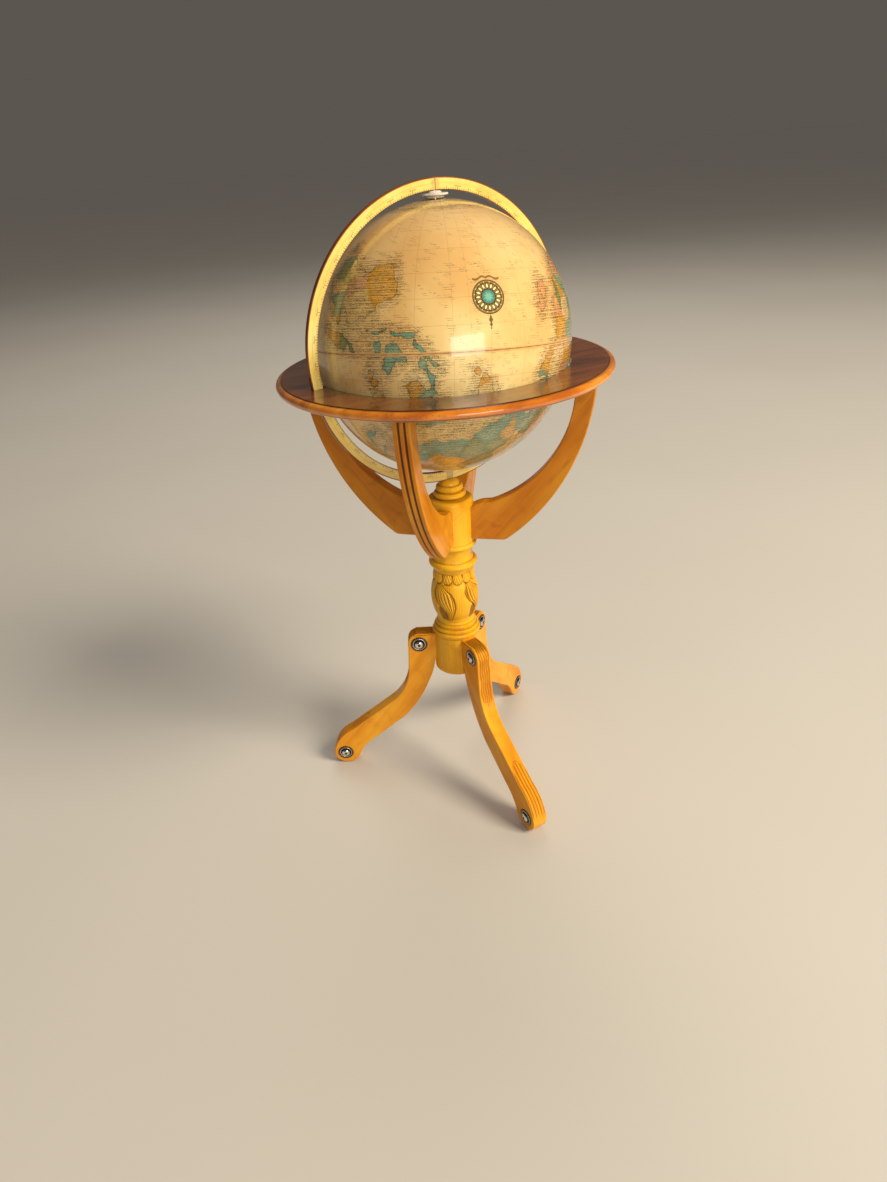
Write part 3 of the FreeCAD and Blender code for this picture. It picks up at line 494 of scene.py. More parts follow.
# Coasts as (longitude, latitude) in degrees, one point for each cape, bay or corner that the shape needs.
LANDS = {
    "eurasia": (
        (-5.6, 36.1), (-2, 36.8), (0, 38.7), (3, 42.3), (7, 43.5), (10.3, 43.8), (12.3, 41.7), (15.8, 40),
        (16, 38), (17, 39.2), (18.4, 40.2), (14, 42.5), (12.4, 44.5), (13.8, 45.5), (19.4, 41.8),
        (21.2, 37.6), (23.2, 36.6), (24, 40.2), (26.2, 40.8), (29, 41.2), (28, 43.5), (31, 46.6),
        (33.5, 45), (36.5, 45.2), (39, 47.1), (38, 44.6), (41.6, 41.6), (36, 41.5), (29.2, 41),
        (26.8, 38.8), (28, 36.7), (32, 36.2), (36, 36.6), (35.2, 33), (34.3, 31.2), (34.8, 29.5),
        (38.5, 23.5), (42.8, 15.5), (45, 12.8), (52, 15.5), (57, 19), (59.7, 22.5), (56.4, 26),
        (51.5, 24.4), (50, 26.8), (48, 30), (51, 28.8), (54.5, 26.6), (57, 27), (61.5, 25.2), (66.8, 25),
        (69, 22.3), (72.8, 21), (73.2, 16.5), (76.2, 10), (77.6, 8.1), (80, 12), (80.3, 15.7),
        (85, 19.6), (88, 21.7), (91.5, 22.6), (94.2, 16.8), (97.6, 16.6), (98.6, 11), (98.3, 8.3),
        (101.3, 2.8), (103.8, 1.4), (103.3, 4.2), (100.2, 7.3), (99.4, 10.5), (100.5, 13.5),
        (102.4, 12.2), (105, 8.7), (109.2, 11.8), (107.5, 16.5), (106, 19.8), (110, 21.4),
        (114.2, 22.4), (118, 24.5), (121.8, 28.8), (121, 32.5), (119.3, 35.3), (122.2, 37),
        (118.2, 38.8), (121.5, 40.8), (125, 39.6), (126.4, 34.6), (129.3, 35.5), (128, 39.3),
        (131.5, 43), (137, 46), (140.5, 49), (140.2, 53.5), (136.5, 54.5), (143, 59.3), (150, 59.6),
        (156, 61.5), (156.8, 57.5), (156.7, 51.2), (162, 55), (163, 59.8), (171, 60.4), (179, 62.5),
        (180, 66), (178, 69), (170, 69.8), (161, 69.6), (150, 71.5), (140, 72.6), (128, 73.5),
        (113, 74), (104, 77.5), (95, 76), (86, 74.5), (80, 72.5), (72, 72), (68, 68.5), (60, 69),
        (54, 68.5), (45, 67.8), (40.5, 66.4), (34, 66.8), (41, 67.3), (31, 70), (25, 71), (18, 69.5),
        (13, 65.5), (8, 63), (5, 61), (6, 58.3), (10.5, 59.2), (12.6, 56), (16.3, 57), (18, 60),
        (17.5, 62.3), (22, 65.6), (25, 65), (21.4, 61), (28, 60.3), (23.6, 59.2), (24, 57.2),
        (21, 55.5), (18, 54.7), (11, 54), (10.6, 57.5), (8.2, 56.5), (8.6, 54), (4, 52), (1.6, 50.6),
        (-1.8, 49.4), (-4.6, 48.4), (-1.2, 46), (-1.8, 43.4), (-9, 43.4), (-9.3, 38.6), (-8.8, 37)),
    "africa": (
        (-6, 35.8), (3, 36.9), (10, 37.3), (11, 33.5), (19.5, 30.3), (25, 31.7), (32.3, 31.2),
        (34, 27.5), (37.2, 21), (39.5, 15.5), (43.2, 11.8), (51.2, 11.9), (48, 4.5), (41, -2),
        (39.2, -6.8), (40.6, -14.8), (35, -20), (35.3, -24), (32.8, -26), (31, -30), (26, -33.8),
        (20, -34.8), (18.2, -33), (15, -27), (11.8, -17), (13.6, -12), (12, -5), (9, -0.5), (9.6, 4),
        (5, 4.5), (1, 6), (-7.5, 4.4), (-13.2, 8.8), (-17.4, 14.7), (-16.2, 19.5), (-14.5, 26),
        (-9.8, 30.2)),
    "madagascar": ((49.3, -12), (50.4, -15.7), (47.2, -24.9), (44, -25), (43.4, -22), (44.4, -16.2)),
    "britain": ((-5.2, 50.1), (1.3, 51.2), (0.3, 53), (-1.8, 55.6), (-2, 57.6), (-5, 58.6), (-5.8, 56),
                (-3.2, 54.6), (-4.6, 53.2), (-4.9, 51.8)),
    "ireland": ((-6.2, 52.2), (-10, 51.8), (-9.8, 54.2), (-7.3, 55.3), (-5.7, 54.4)),
    "iceland": ((-14, 65), (-16.2, 66.4), (-22.4, 66.2), (-24, 65.4), (-22, 64), (-18.8, 63.4)),
    "svalbard": ((11, 79), (16, 80), (26, 80), (22, 78), (16.5, 76.7)),
    "novaya_zemlya": ((51.5, 71.5), (55, 73.5), (60, 76), (68, 77), (60, 74), (57.5, 70.8)),
    "ceylon": ((80, 9.8), (81.8, 7.2), (80.5, 5.9), (79.8, 8)),
    "sumatra": ((95.3, 5.6), (98, 4.4), (101, 2), (103.8, -1), (106, -3), (105.8, -5.9), (102.3, -4),
                (100.4, -1), (98.8, 1.7), (95.4, 4.8)),
    "java": ((105.2, -6.7), (106.8, -5.9), (110.8, -6.4), (114.5, -7.7), (114.5, -8.7), (108.5, -7.8)),
    "flores": ((116, -8.3), (119.5, -8.2), (123, -8.2), (121, -9.2), (117, -9.3)),
    "timor": ((123.6, -10.3), (125, -8.7), (127, -8.3), (126.5, -9.2)),
    "borneo": ((109, 1.6), (111.3, 2.5), (113, 3.2), (116.8, 7), (119.2, 5.2), (117.8, 3.6), (118.9, 1),
               (117.4, 0.8), (116.4, -3.6), (114.5, -4.1), (111.7, -3.5), (110, -1.6)),
    "celebes": ((119.5, -5.5), (120.4, -5.6), (120.9, -3), (122.3, -5), (122.8, -4.2), (121.6, -1.9),
                (123.3, -0.8), (120.9, -1.2), (120.2, 0.2), (124.2, 0.4), (125.2, 1.5), (120.8, 1.3),
                (119.7, -0.1), (118.8, -2.8)),
    "new_guinea": ((131, -0.8), (134, -0.8), (135.5, -3.3), (138, -1.7), (144.5, -3.9), (147.8, -6.2),
                   (150.6, -10.4), (147, -9.4), (143.5, -8.4), (142.6, -9.2), (138.2, -8.2),
                   (138.4, -6.8), (133, -4), (132.5, -2.8)),
    "luzon": ((120.5, 18.5), (122.2, 18.4), (121.6, 15.5), (124, 13), (120.6, 13.9), (119.9, 16)),
    "mindanao": ((122, 7), (125.5, 5.8), (126.4, 8), (125.4, 9.8), (123.5, 8.6)),
    "visayas": ((122, 11.8), (124.6, 11.6), (124.8, 10.2), (122.6, 9.4)),
    "formosa": ((120.1, 23), (121.5, 25.2), (121, 22)),
    "hainan": ((108.7, 19.2), (110.6, 20.1), (110, 18.3)),
    "honshu": ((130, 33.6), (132.6, 35.4), (136.8, 37.4), (139.6, 38.8), (140.3, 41.3), (142, 39.6),
               (140.8, 35.8), (137, 34.6), (135.6, 33.6), (132.4, 33.8), (131.4, 31.4), (130.2, 31.3)),
    "hokkaido": ((140, 42), (141.8, 45.4), (145.3, 43.4), (143.2, 42)),
    "sakhalin": ((142, 46.2), (143.4, 49.4), (142.8, 54.2), (142, 52)),
    "australia": (
        (113.6, -22.5), (114.2, -21.8), (117, -20.6), (121.5, -18.8), (122.3, -17), (124.5, -16),
        (127, -13.9), (129.5, -14.9), (130.6, -12.4), (132.8, -11.3), (136.6, -12), (135.6, -14.8),
        (139.3, -17.4), (141, -16.5), (141.6, -13), (142.6, -10.8), (143.8, -14.4), (145.6, -15),
        (146.3, -18.8), (149, -20.6), (152.8, -25), (153.5, -28.8), (151.5, -33.2), (150, -37.2),
        (146.4, -39), (143.6, -38.7), (140.4, -38), (138.4, -35.2), (136, -34.8), (137.8, -32.8),
        (134.2, -32.8), (131, -31.6), (126, -32.3), (123.6, -33.9), (118, -35), (115.2, -34.3),
        (115.7, -31.8), (113.4, -26)),
    "tasmania": ((144.8, -40.8), (148.2, -40.9), (147.6, -43.2), (146, -43.4)),
    "north_island": ((172.8, -34.6), (175.4, -36.6), (178.4, -37.7), (176.8, -40), (175.2, -41.5),
                     (173.8, -39.4), (174.6, -37.2)),
    "south_island": ((172.7, -40.6), (174.2, -41.6), (170.8, -45.8), (168.4, -46.5), (166.6, -45.8),
                     (170.6, -42.8)),
    "north_america": (
        (-168, 65.7), (-162, 66.6), (-166.5, 68.4), (-157, 71.2), (-141, 69.7), (-128, 70.3), (-115, 68),
        (-108, 68.2), (-98, 67.8), (-94, 71.8), (-85, 69.5), (-82, 67), (-87, 64), (-94, 61),
        (-94.5, 58.7), (-88, 56.7), (-82.3, 55), (-80, 51.3), (-79, 54.5), (-77, 57.5), (-78, 62.3),
        (-72, 61.5), (-69.5, 59), (-64.5, 60.3), (-61, 56), (-56, 52.5), (-60, 50.2), (-66.5, 50.1),
        (-70.5, 47.2), (-64.8, 48.8), (-61, 46), (-65.8, 43.6), (-67, 44.8), (-70.5, 43), (-70, 41.7),
        (-74, 40.5), (-75.6, 36.5), (-78, 34), (-81.3, 31.2), (-80.1, 26.2), (-81.2, 25.3),
        (-82.8, 28.5), (-84.2, 30), (-89.5, 30.1), (-94, 29.6), (-97.4, 27), (-97.7, 22), (-95.6, 18.8),
        (-91, 18.6), (-90.2, 21), (-87, 21.4), (-88.3, 16.2), (-83.3, 14.8), (-83.7, 11), (-79.5, 9.4),
        (-77.4, 8.3), (-79.8, 7.4), (-82.8, 8.2), (-85.8, 10.4), (-87.7, 12.9), (-93, 15.6),
        (-96.5, 15.8), (-101.5, 17.8), (-105.4, 20), (-106.5, 23.5), (-109.4, 26.5), (-112.8, 31),
        (-114.7, 31.4), (-111.5, 26.4), (-109.6, 23), (-112, 24.8), (-115, 29), (-117.2, 32.7),
        (-120.6, 34.8), (-123.8, 39.5), (-124.2, 43), (-124.4, 47.5), (-128, 51), (-133.5, 56),
        (-139, 59.6), (-147, 60.6), (-152.4, 58.8), (-158.5, 56), (-164, 54.7), (-158, 58.5),
        (-162, 59.5), (-165.5, 61.5), (-161, 64.2)),
    "greenland": ((-73, 78.4), (-60, 82), (-33, 83.4), (-18, 80.5), (-20, 75), (-25, 70.5), (-33, 67.5),
                  (-42, 62), (-44, 59.9), (-51, 63.5), (-54, 68), (-55, 71), (-61, 76)),
    "baffin": ((-90, 73.5), (-80, 73.6), (-68, 70), (-62, 66.8), (-66, 62.5), (-74, 64.8), (-78, 69.8)),
    "ellesmere": ((-90, 77), (-78, 77), (-62, 82.5), (-80, 83), (-92, 81)),
    "victoria": ((-117, 69.5), (-105, 68.8), (-102, 72), (-110, 73), (-118, 72)),
    "cuba": ((-84.8, 21.9), (-80.5, 23.1), (-74.3, 20.2), (-77.5, 19.9), (-82, 22.3)),
    "hispaniola": ((-74.3, 18.4), (-73, 19.9), (-68.6, 18.6), (-71.5, 17.8)),
    "newfoundland": ((-59.2, 47.7), (-55.6, 51.4), (-53, 47)),
    "south_america": (
        (-77.4, 8.3), (-75.5, 10.7), (-71.7, 12.4), (-68, 11), (-62, 10.6), (-57.5, 6.3), (-51.6, 4.2),
        (-50, 0.5), (-44.5, -2.6), (-39.6, -2.9), (-35, -6), (-37, -11.5), (-39, -17.5), (-41, -22),
        (-45, -23.6), (-48.6, -27.5), (-53.5, -34), (-57.5, -34.6), (-57.2, -37.8), (-62, -39),
        (-65, -41), (-66, -46), (-68.5, -50.5), (-65.8, -54.8), (-69, -55.4), (-74.5, -51),
        (-75.5, -46.8), (-73.4, -40.5), (-71.7, -32), (-70.2, -19.5), (-76.2, -14), (-79.8, -7.2),
        (-81.2, -4.4), (-80, -2.5), (-80, 0.8), (-77.8, 3.5)),
    "antarctica": (
        (-180, -78), (-150, -77), (-120, -74), (-100, -73), (-75, -72), (-62, -65), (-58, -63.5),
        (-62, -70), (-60, -75), (-35, -78), (-20, -73), (0, -70), (25, -70), (50, -67.5), (70, -69),
        (90, -67), (115, -67.5), (140, -67.5), (160, -70), (168, -76), (180, -78), (180, -90),
        (-180, -90)),
}
CASPIAN = ((47, 45), (51.5, 46.8), (53, 45), (51, 44.5), (53.5, 41), (53.8, 37.3), (49.5, 37.5),
           (49.8, 40.5), (47.5, 43))

# Washes of the tinted lands.  Each land point takes the wash whose spot is nearest.
WASHES = {
    "ochre": (srgb(222, 156, 32), (
        (121, -26), (145, -7), (80.8, 7.5), (46, 21), (46, 7), (37, -6), (96, 54), (59, 38), (107, 13),
        (122, 14), (-4, 40), (16, 63), (-6, 32), (7, 9), (30, -19), (26, 5), (-110, 36), (-72, 53),
        (-88, 15), (-73, 4), (-71, -35), (-55, -32), (127, 48))),
    "green": (srgb(104, 134, 74), (
        (145, -31), (136, -4), (78, 47), (61, 42), (66, 60), (2, 47), (22, 43), (18, 27),
        (10, 17), (-10, 9), (17, -12), (33, -18), (-120, 58), (-86, 33), (-103, 24), (-65, 7),
        (-65, -35), (-8, 53), (104, 24), (174, -39))),
    "teal": (srgb(96, 160, 134), (
        (146, -21), (146, -42), (101, -1), (110, -7), (113, -1), (117, 5), (121, -2), (102, 17),
        (98, 10), (102, 4), (107, 46), (90, 46), (68, 35), (50, 33), (48, 15), (57, 22), (137, 36),
        (23, -3), (12, 43), (32, 49), (18, 15), (24, -22), (-115, 45), (-75, -10), (-70, 68),
        (142, 43), (95, 24))),
    "rose": (srgb(222, 154, 96), (
        (135, -27), (46, -22), (34, 39), (11, 51), (-2, 54), (-10, 20), (30, 14), (23, -31),
        (37, -15), (-152, 65), (-76, 42), (-57, 4), (-64, -17), (160, 58), (113, 63), (170, -44))),
    "straw": (srgb(232, 190, 108), (
        (133, -20), (136, -32), (75, 27), (109, 33), (90, 32), (116, 28), (130, 66), (20, 52),
        (40, 56), (29, 27), (12, 5), (17, -22), (-100, 58), (-82, 28), (-44, -12), (-58, -23),
        (127, 37), (147, -25))),
    "cream": (srgb(236, 198, 130), (
        (78, 19), (85, 25), (97, 20), (100, 64), (27, 64), (3, 28), (-2, 17), (40, 8), (27, -14),
        (-85, 50), (-98, 42), (-42, 72), (-58, -5), (-69, -47), (0, -80), (90, -80), (180, -80),
        (-90, -80), (-18, 65), (48, 47))),
}


def direction(longitude, latitude):
    """Unit vectors on the map for longitudes and latitudes in degrees."""
    longitude = np.radians(longitude)
    latitude = np.radians(latitude)
    return np.stack((np.cos(latitude) * np.cos(longitude), np.cos(latitude) * np.sin(longitude),
                     np.sin(latitude)), axis=-1)


def outline_distance(longitude, latitude, outline):
    """Degrees to an outline, negative inside it.  Edges along the map's own border don't count as coast."""
    points = np.array(outline, float)
    middle = (points[:, 0].min() + points[:, 0].max()) / 2
    x = (longitude - middle + 180) % 360 - 180 + middle
    squeeze = np.cos(np.radians(latitude))
    nearest = np.full(len(x), 400.0)
    inside = np.zeros(len(x), bool)
    for (ax, ay), (bx, by) in zip(points, np.roll(points, -1, axis=0)):
        if ay != by:
            crossing = (ay > latitude) != (by > latitude)
            inside ^= crossing & (x < (bx - ax) * (latitude - ay) / (by - ay) + ax)
        if abs(ax) == 180 and abs(bx) == 180:
            continue
        for turn in (0, -360, 360) if abs(ax) == 180 or abs(bx) == 180 else (0,):
            dx = (bx - ax) * squeeze
            dy = by - ay
            px = (x - ax - turn) * squeeze
            py = latitude - ay
            share = np.clip((px * dx + py * dy) / (dx * dx + dy * dy + 1e-9), 0, 1)
            nearest = np.minimum(nearest, np.hypot(px - share * dx, py - share * dy))
    return np.where(inside, -nearest, nearest)


# Coasts farther off than this many degrees are not looked for.
OPEN_SEA = 12.0


def shore_distance(longitude, latitude):
    """Degrees to the nearest coast, negative on land."""
    nearest = np.full(len(longitude), OPEN_SEA)
    for outline in LANDS.values():
        points = np.array(outline, float)
        middle = (points[:, 0].min() + points[:, 0].max()) / 2
        half = (points[:, 0].max() - points[:, 0].min()) / 2
        away = np.abs((longitude - middle + 180) % 360 - 180)
        margin = OPEN_SEA / np.maximum(np.cos(np.radians(latitude)), 0.08)
        close = away < half + margin
        close &= latitude > points[:, 1].min() - OPEN_SEA
        close &= latitude < points[:, 1].max() + OPEN_SEA
        if close.any():
            distance = outline_distance(longitude[close], latitude[close], outline)
            nearest[close] = np.minimum(nearest[close], distance)
    lake = outline_distance(longitude, latitude, CASPIAN)
    return np.where(lake < 0, -lake, np.where(nearest < 0, np.maximum(nearest, -lake), nearest))


def wash_of(directions):
    """The wash colour at each direction and the distance in degrees to where the next wash begins."""
    spots = [(spot, colour) for colour, spots in WASHES.values() for spot in spots]
    places = np.array([spot for spot, _ in spots], float)
    centres = direction(places[:, 0], places[:, 1])
    colours = np.array([colour for _, colour in spots])
    away = np.degrees(np.arccos(np.clip(directions @ centres.T, -1, 1)))
    order = np.argsort(away, axis=1)[:, :2]
    rows = np.arange(len(away))
    gap = away[rows, order[:, 1]] - away[rows, order[:, 0]]
    return colours[order[:, 0]], gap / 2


# ---------------------------------------------------------------- making pieces

def placed(name, data):
    """A new object in the scene."""
    thing = bpy.data.objects.new(name, data)
    bpy.context.scene.collection.objects.link(thing)
    return thing


def make_piece(name, points, faces, material, body, slot, nodes, flat=(), **marks):
    """A mesh piece on a body, standing for CAD nodes, with one value of each mark for every point."""
    mesh = bpy.data.meshes.new(name)
    mesh.from_pydata(np.asarray(points, float).tolist(), [], faces)
    kinds = {1: ("FLOAT", "value"), 3: ("FLOAT_VECTOR", "vector"), 4: ("FLOAT_COLOR", "color")}
    for label, values in marks.items():
        values = np.asarray(values, np.float32)
        kind, field = kinds[1 if values.ndim == 1 else values.shape[1]]
        mesh.attributes.new(label, kind, "POINT").data.foreach_set(field, values.ravel())
    smooth = np.ones(len(mesh.polygons), bool)
    smooth[list(flat)] = False
    mesh.polygons.foreach_set("use_smooth", smooth)
    mesh.materials.append(material)
    mesh.update()
    piece = placed(name, mesh)
    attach(piece, body)
    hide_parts(*nodes)
    return piece


def grid_faces(rows, columns, flip=False):
    """Quads of a grid of points whose rows run round a closed loop."""
    faces = []
    for row in range(rows - 1):
        for column in range(columns):
            beside = (column + 1) % columns
            a = row * columns + column
            b = row * columns + beside
            quad = (a, b, b + columns, a + columns)
            faces.append(quad[::-1] if flip else quad)
    return faces


def close_ends(faces, rows, columns, foot):
    """Triangles from a grid's first and last rows to their centre points, which are foot and the next."""
    top = (rows - 1) * columns
    for column in range(columns):
        beside = (column + 1) % columns
        faces.append((foot, beside, column))
        faces.append((foot + 1, top + column, top + beside))


# ---------------------------------------------------------------- ball

def ball_half(label, side, material):
    """One half of the ball: a finely divided skin with the map's values on it, and a plain inside."""
    columns = 480
    rows = 120
    inner_rows = 12
    lean = np.array(Matrix.Rotation(LEAN, 3, Vector((math.cos(LEAN_BEARING + math.pi / 2),
                                                     math.sin(LEAN_BEARING + math.pi / 2), 0))))
    bearing = np.arange(columns) * 360 / columns
    levels = list(np.arange(rows) * 90 / rows) + [90 - 0.02]
    levels += [90 - 0.02] + list(90 - np.arange(1, inner_rows + 1) * 90 / inner_rows)
    radii = [BALL_RADIUS] * (rows + 1) + [BALL_RADIUS - SHELL_WALL] * (inner_rows + 1)
    level = np.repeat(levels, columns) * side
    turn = np.tile(bearing, len(levels))
    local = direction(turn, level)
    points = np.array(BALL_CENTRE) + np.repeat(radii, columns)[:, None] * (local @ lean.T)
    longitude = (PRIME_BEARING - turn + 180) % 360 - 180
    latitude = -level
    faces = grid_faces(len(levels), columns, flip=side < 0)
    # The last row, inside, joins the first, outside, along the equator.
    last = (len(levels) - 1) * columns
    for column in range(columns):
        beside = (column + 1) % columns
        quad = (last + column, last + beside, beside, column)
        faces.append(quad[::-1] if side < 0 else quad)
    outward = direction(longitude, latitude)
    skin = (rows + 1) * columns
    sway = 0.35 * np.sin(0.9 * latitude + 2.1 * np.sin(0.31 * longitude))
    drift = 0.35 * np.sin(0.8 * longitude + 1.7 * np.sin(0.37 * latitude))
    shore = np.full(len(points), OPEN_SEA)
    shore[:skin] = shore_distance((longitude + drift)[:skin], (latitude + sway)[:skin])
    wobble = outward + 0.012 * np.sin(outward[:, [1, 2, 0]] * 31)
    wobble = wobble + 0.008 * np.sin(outward[:, [2, 0, 1]] * 67)
    wobble /= np.linalg.norm(wobble, axis=1)[:, None]
    tint = np.ones((len(points), 4))
    border = np.full(len(points), 9.0)
    tint[:skin], border[:skin] = wash_of(wobble[:skin])
    return make_piece(f"ball_{label}_map", points, faces, material, "ball", "map_paper",
                      [f"ball_shell_{label}"], map_place=outward, shore=shore, border=border, tint=tint)


# ---------------------------------------------------------------- boards with a worked edge

def arc_points(first, middle, last, step):
    """Points after first up to last along the arc through the three."""
    a, b, c = (complex(*p) for p in (first, middle, last))
    w = (c - a) / (b - a)
    centre = (b - a) * (w - abs(w) ** 2) / (2j * w.imag) + a
    radius = abs(a - centre)
    start = math.atan2((a - centre).imag, (a - centre).real)
    sweep = (math.atan2((c - centre).imag, (c - centre).real) - start) % (2 * math.pi)
    through = (math.atan2((b - centre).imag, (b - centre).real) - start) % (2 * math.pi)
    if through > sweep:
        sweep -= 2 * math.pi
    count = max(2, round(radius * abs(sweep) / step))
    turns = start + sweep * np.arange(1, count + 1) / count
    return np.stack((centre.real + radius * np.cos(turns), centre.imag + radius * np.sin(turns)), axis=1)


def walk(path, step):
    """Evenly spaced points along a closed path of straight runs and arcs, and the run each belongs to."""
    points = []
    runs = []
    here = path[0]
    for number, leg in enumerate(list(path[1:]) + [path[0]]):
        if len(leg) == 2:
            length = math.dist(here, leg)
            count = max(2, round(length / step))
            share = np.arange(1, count + 1)[:, None] / count
            piece = np.array(here) + share * (np.array(leg) - np.array(here))
        else:
            piece = arc_points(here, leg[:2], leg[2:], step)
        points.append(piece)
        runs += [number] * len(piece)
        here = leg[-2:]
    return np.concatenate(points), np.array(runs)


def worked_board(name, path, thick, angle, carve, slope, material, slot, node, step=1.3, rows=32):
    """A board cut to a closed path, with eased corners and an edge carved by carve(runs, walked, aside)."""
    outline, runs = walk(path, step)
    for _ in range(6):
        outline = (np.roll(outline, 1, axis=0) + 2 * outline + np.roll(outline, -1, axis=0)) / 4
    ahead = np.roll(outline, -1, axis=0) - outline
    behind = outline - np.roll(outline, 1, axis=0)
    tangent = ahead / np.linalg.norm(ahead, axis=1)[:, None]
    tangent = tangent + behind / np.linalg.norm(behind, axis=1)[:, None]
    tangent /= np.linalg.norm(tangent, axis=1)[:, None]
    area = np.sum(outline[:, 0] * np.roll(outline[:, 1], -1) - outline[:, 1] * np.roll(outline[:, 0], -1))
    inward = np.stack((-tangent[:, 1], tangent[:, 0]), axis=1) * np.sign(area)
    walked = np.cumsum(np.linalg.norm(behind, axis=1))
    half = thick / 2
    ease = 1.6
    aside = half * np.sin(np.linspace(-math.pi / 2, math.pi / 2, rows) * 0.999)
    aside = 0.35 * aside + 0.65 * np.linspace(-half, half, rows)
    over = np.clip((np.abs(aside) - half + ease) / ease, 0, 1)
    rounding = ease * (1 - np.sqrt(1 - over ** 2))
    deep = np.stack([carve(runs, walked, y) for y in aside])
    inset = deep + rounding[:, None]
    count = len(outline)
    flat = outline[None] + inward[None] * inset[:, :, None]
    reach = flat[:, :, 0].ravel()
    height = flat[:, :, 1].ravel()
    side = np.repeat(aside, count)
    turn = math.radians(angle)
    points = np.stack((reach * math.cos(turn) - side * math.sin(turn),
                       reach * math.sin(turn) + side * math.cos(turn), height), axis=1) * MM
    anticlockwise = area > 0
    faces = grid_faces(rows, count, flip=anticlockwise)
    edge_faces = len(faces)
    far = (rows - 1) * count
    for corners in tessellate_polygon([[Vector((x, z, 0)) for x, z in outline]]):
        a, b, c = (outline[corner] for corner in corners)
        if (b[0] - a[0]) * (c[1] - a[1]) < (b[1] - a[1]) * (c[0] - a[0]):
            corners = corners[::-1]
        faces.append(tuple(corners))
        faces.append(tuple(far + corner for corner in corners[::-1]))
    tilt = math.radians(slope)
    grain = np.stack((reach * math.cos(tilt) + height * math.sin(tilt), side,
                      height * math.cos(tilt) - reach * math.sin(tilt)), axis=1) * MM
    grain += np.array((0.37 * angle, 0.11 * angle, 0.0)) * MM
    # hollow, the carving's depth, sets painted shade; edge, the rounding of the corners, sets a painted
    # highlight.
    edge = np.repeat(np.exp(-((np.abs(aside) - half + 0.8) / 0.9) ** 2), count)
    return make_piece(name, points, faces, material, "stand", slot, [node],
                      flat=range(edge_faces, len(faces)), grain=grain,
                      hollow=np.clip(deep.ravel() / 1.8, 0, 1), edge=edge)


def groove(aside, centre, half, depth):
    """Depth of a round-bottomed groove at a place across an edge."""
    return depth * np.sqrt(np.clip(1 - ((aside - centre) / half) ** 2, 0, 1))


def fade(value, start, end):
    """0 before start, 1 after end, and a smooth change between them."""
    share = np.clip((value - start) / (end - start), 0, 1)
    return share * share * (3 - 2 * share)


ARM_PATH = ((25, 384), (75, 385), (147, 466.5, 184.5, 600.5), (159.5, 600.5), (120, 482, 54, 436.5),
            (40.5, 434.9, 31, 430.5), (25, 427.5))
LEG_PATH = ((28, 234), (58.5, 234.5), (68.2, 227.5, 71.5, 212), (74, 172), (82.4, 141.5, 104, 115),
            (171.2, 64), (196, 41.2, 203.2, 21.5), (198.8, 7.4, 188.5, 1), (176.5, 1),
            (167.2, 7.2, 161.2, 18), (150, 34.6, 135.2, 47), (85.5, 87.2), (60, 120, 44.5, 151.5),
            (37, 171, 33, 190), (28, 190))


def arm_edge(runs, walked, aside):
    """Two grooves along the outer edge, dark with painted shade, leave three beads."""
    outer = (runs <= 1) * fade(walked, 8, 14)
    return outer * (groove(aside, 3.4, 1.45, 1.9) + groove(aside, -3.4, 1.45, 1.9))


def leg_edge(runs, walked, aside):
    """Tooled shoulder that painted shade in its tooling turns brown, wavering flutes that die out half way
    down, and four reeds under an arch.
    """
    outer = (runs <= 6) * (1 - fade(walked, 290, 306))
    across = abs(aside) < 9.7
    wander = 0.6 * np.sin(walked * 0.21 + aside * 0.2)
    flutes = sum(groove(aside + wander, centre, 1.5, 1.2) for centre in (-6.8, -3.4, 0, 3.4, 6.8))
    shoulder = fade(walked, 3, 8) * (1 - fade(walked, 34, 42))
    punches = np.abs(np.sin(walked * 1.15 + 0.5 * aside)) * np.abs(np.cos(aside * 1.3 + walked * 0.35))
    fluted = fade(walked, 4, 9) * (1 - fade(walked, 122 - abs(aside), 142 - 1.5 * abs(aside)))
    top = 213 + 15 * (aside / 9.5) ** 2
    reeded = fade(walked, top, top + 2)
    reeds = sum(groove(aside, centre, 0.95, 1.4) for centre in (-9.4, -4.7, 0, 4.7, 9.4))
    arch = np.exp(-((walked - top + 0.8) / 1.1) ** 2) * 1.3 * across
    outline = np.exp(-((walked - top + 5.0) / 0.8) ** 2) * 0.6 * across
    tooled = shoulder * (0.5 + 0.6 * (1 - punches))
    return outer * (tooled + fluted * flutes + reeded * reeds + arch + outline)


def arms_and_legs(arm_material, leg_material):
    for number, angle in enumerate(ARM_ANGLES, start=1):
        worked_board(f"arm_{number}_moulded", ARM_PATH, ARM_THICK, angle, arm_edge, 52, arm_material,
                     "arm_wood", f"bracket_arm_{number}", rows=34)
    for number, angle in enumerate(LEG_ANGLES, start=1):
        worked_board(f"leg_{number}_carved", LEG_PATH, LEG_THICK, angle, leg_edge, -52, leg_material,
                     "leg_wood", f"leg_{number}", step=0.9, rows=44)


# ---------------------------------------------------------------- carved baluster

BALUSTER_PATH = ((0.0, 234), (33, 234), (33, 235.5), (34.5, 238.5, 32.7, 241.6), (31.1, 242.4),
                 (32.1, 245, 30.3, 247.8), (28.1, 248.4), (28.9, 251, 26.9, 254.4), (25.6, 258.6),
                 (27.5, 263), (34, 295, 29.2, 320.5), (29.0, 329, 27.6, 335), (27, 336),
                 (29, 340, 30.9, 343), (0.0, 343))

BALUSTER_FOOT = 234
BALUSTER_TOP = 343
# Where the carved leaves start, and how high they are.
LEAF_FOOT = 262
LEAF_RISE = 62
MOULDING_LINES = (237.2, 240.0, 244.2, 246.4, 250.0, 252.6)
# Outline of one leaf: a share of its height, and there its middle and half width in degrees round the column.
LEAF = ((0.0, 12.5, 5.5), (0.12, 15.5, 7.5), (0.25, 17.0, 10.0), (0.37, 12.5, 16.5), (0.5, 4.5, 23.0),
        (0.62, -1.0, 25.0), (0.74, -6.0, 23.5), (0.87, -14.5, 13.0), (1.0, -20.0, 5.0))


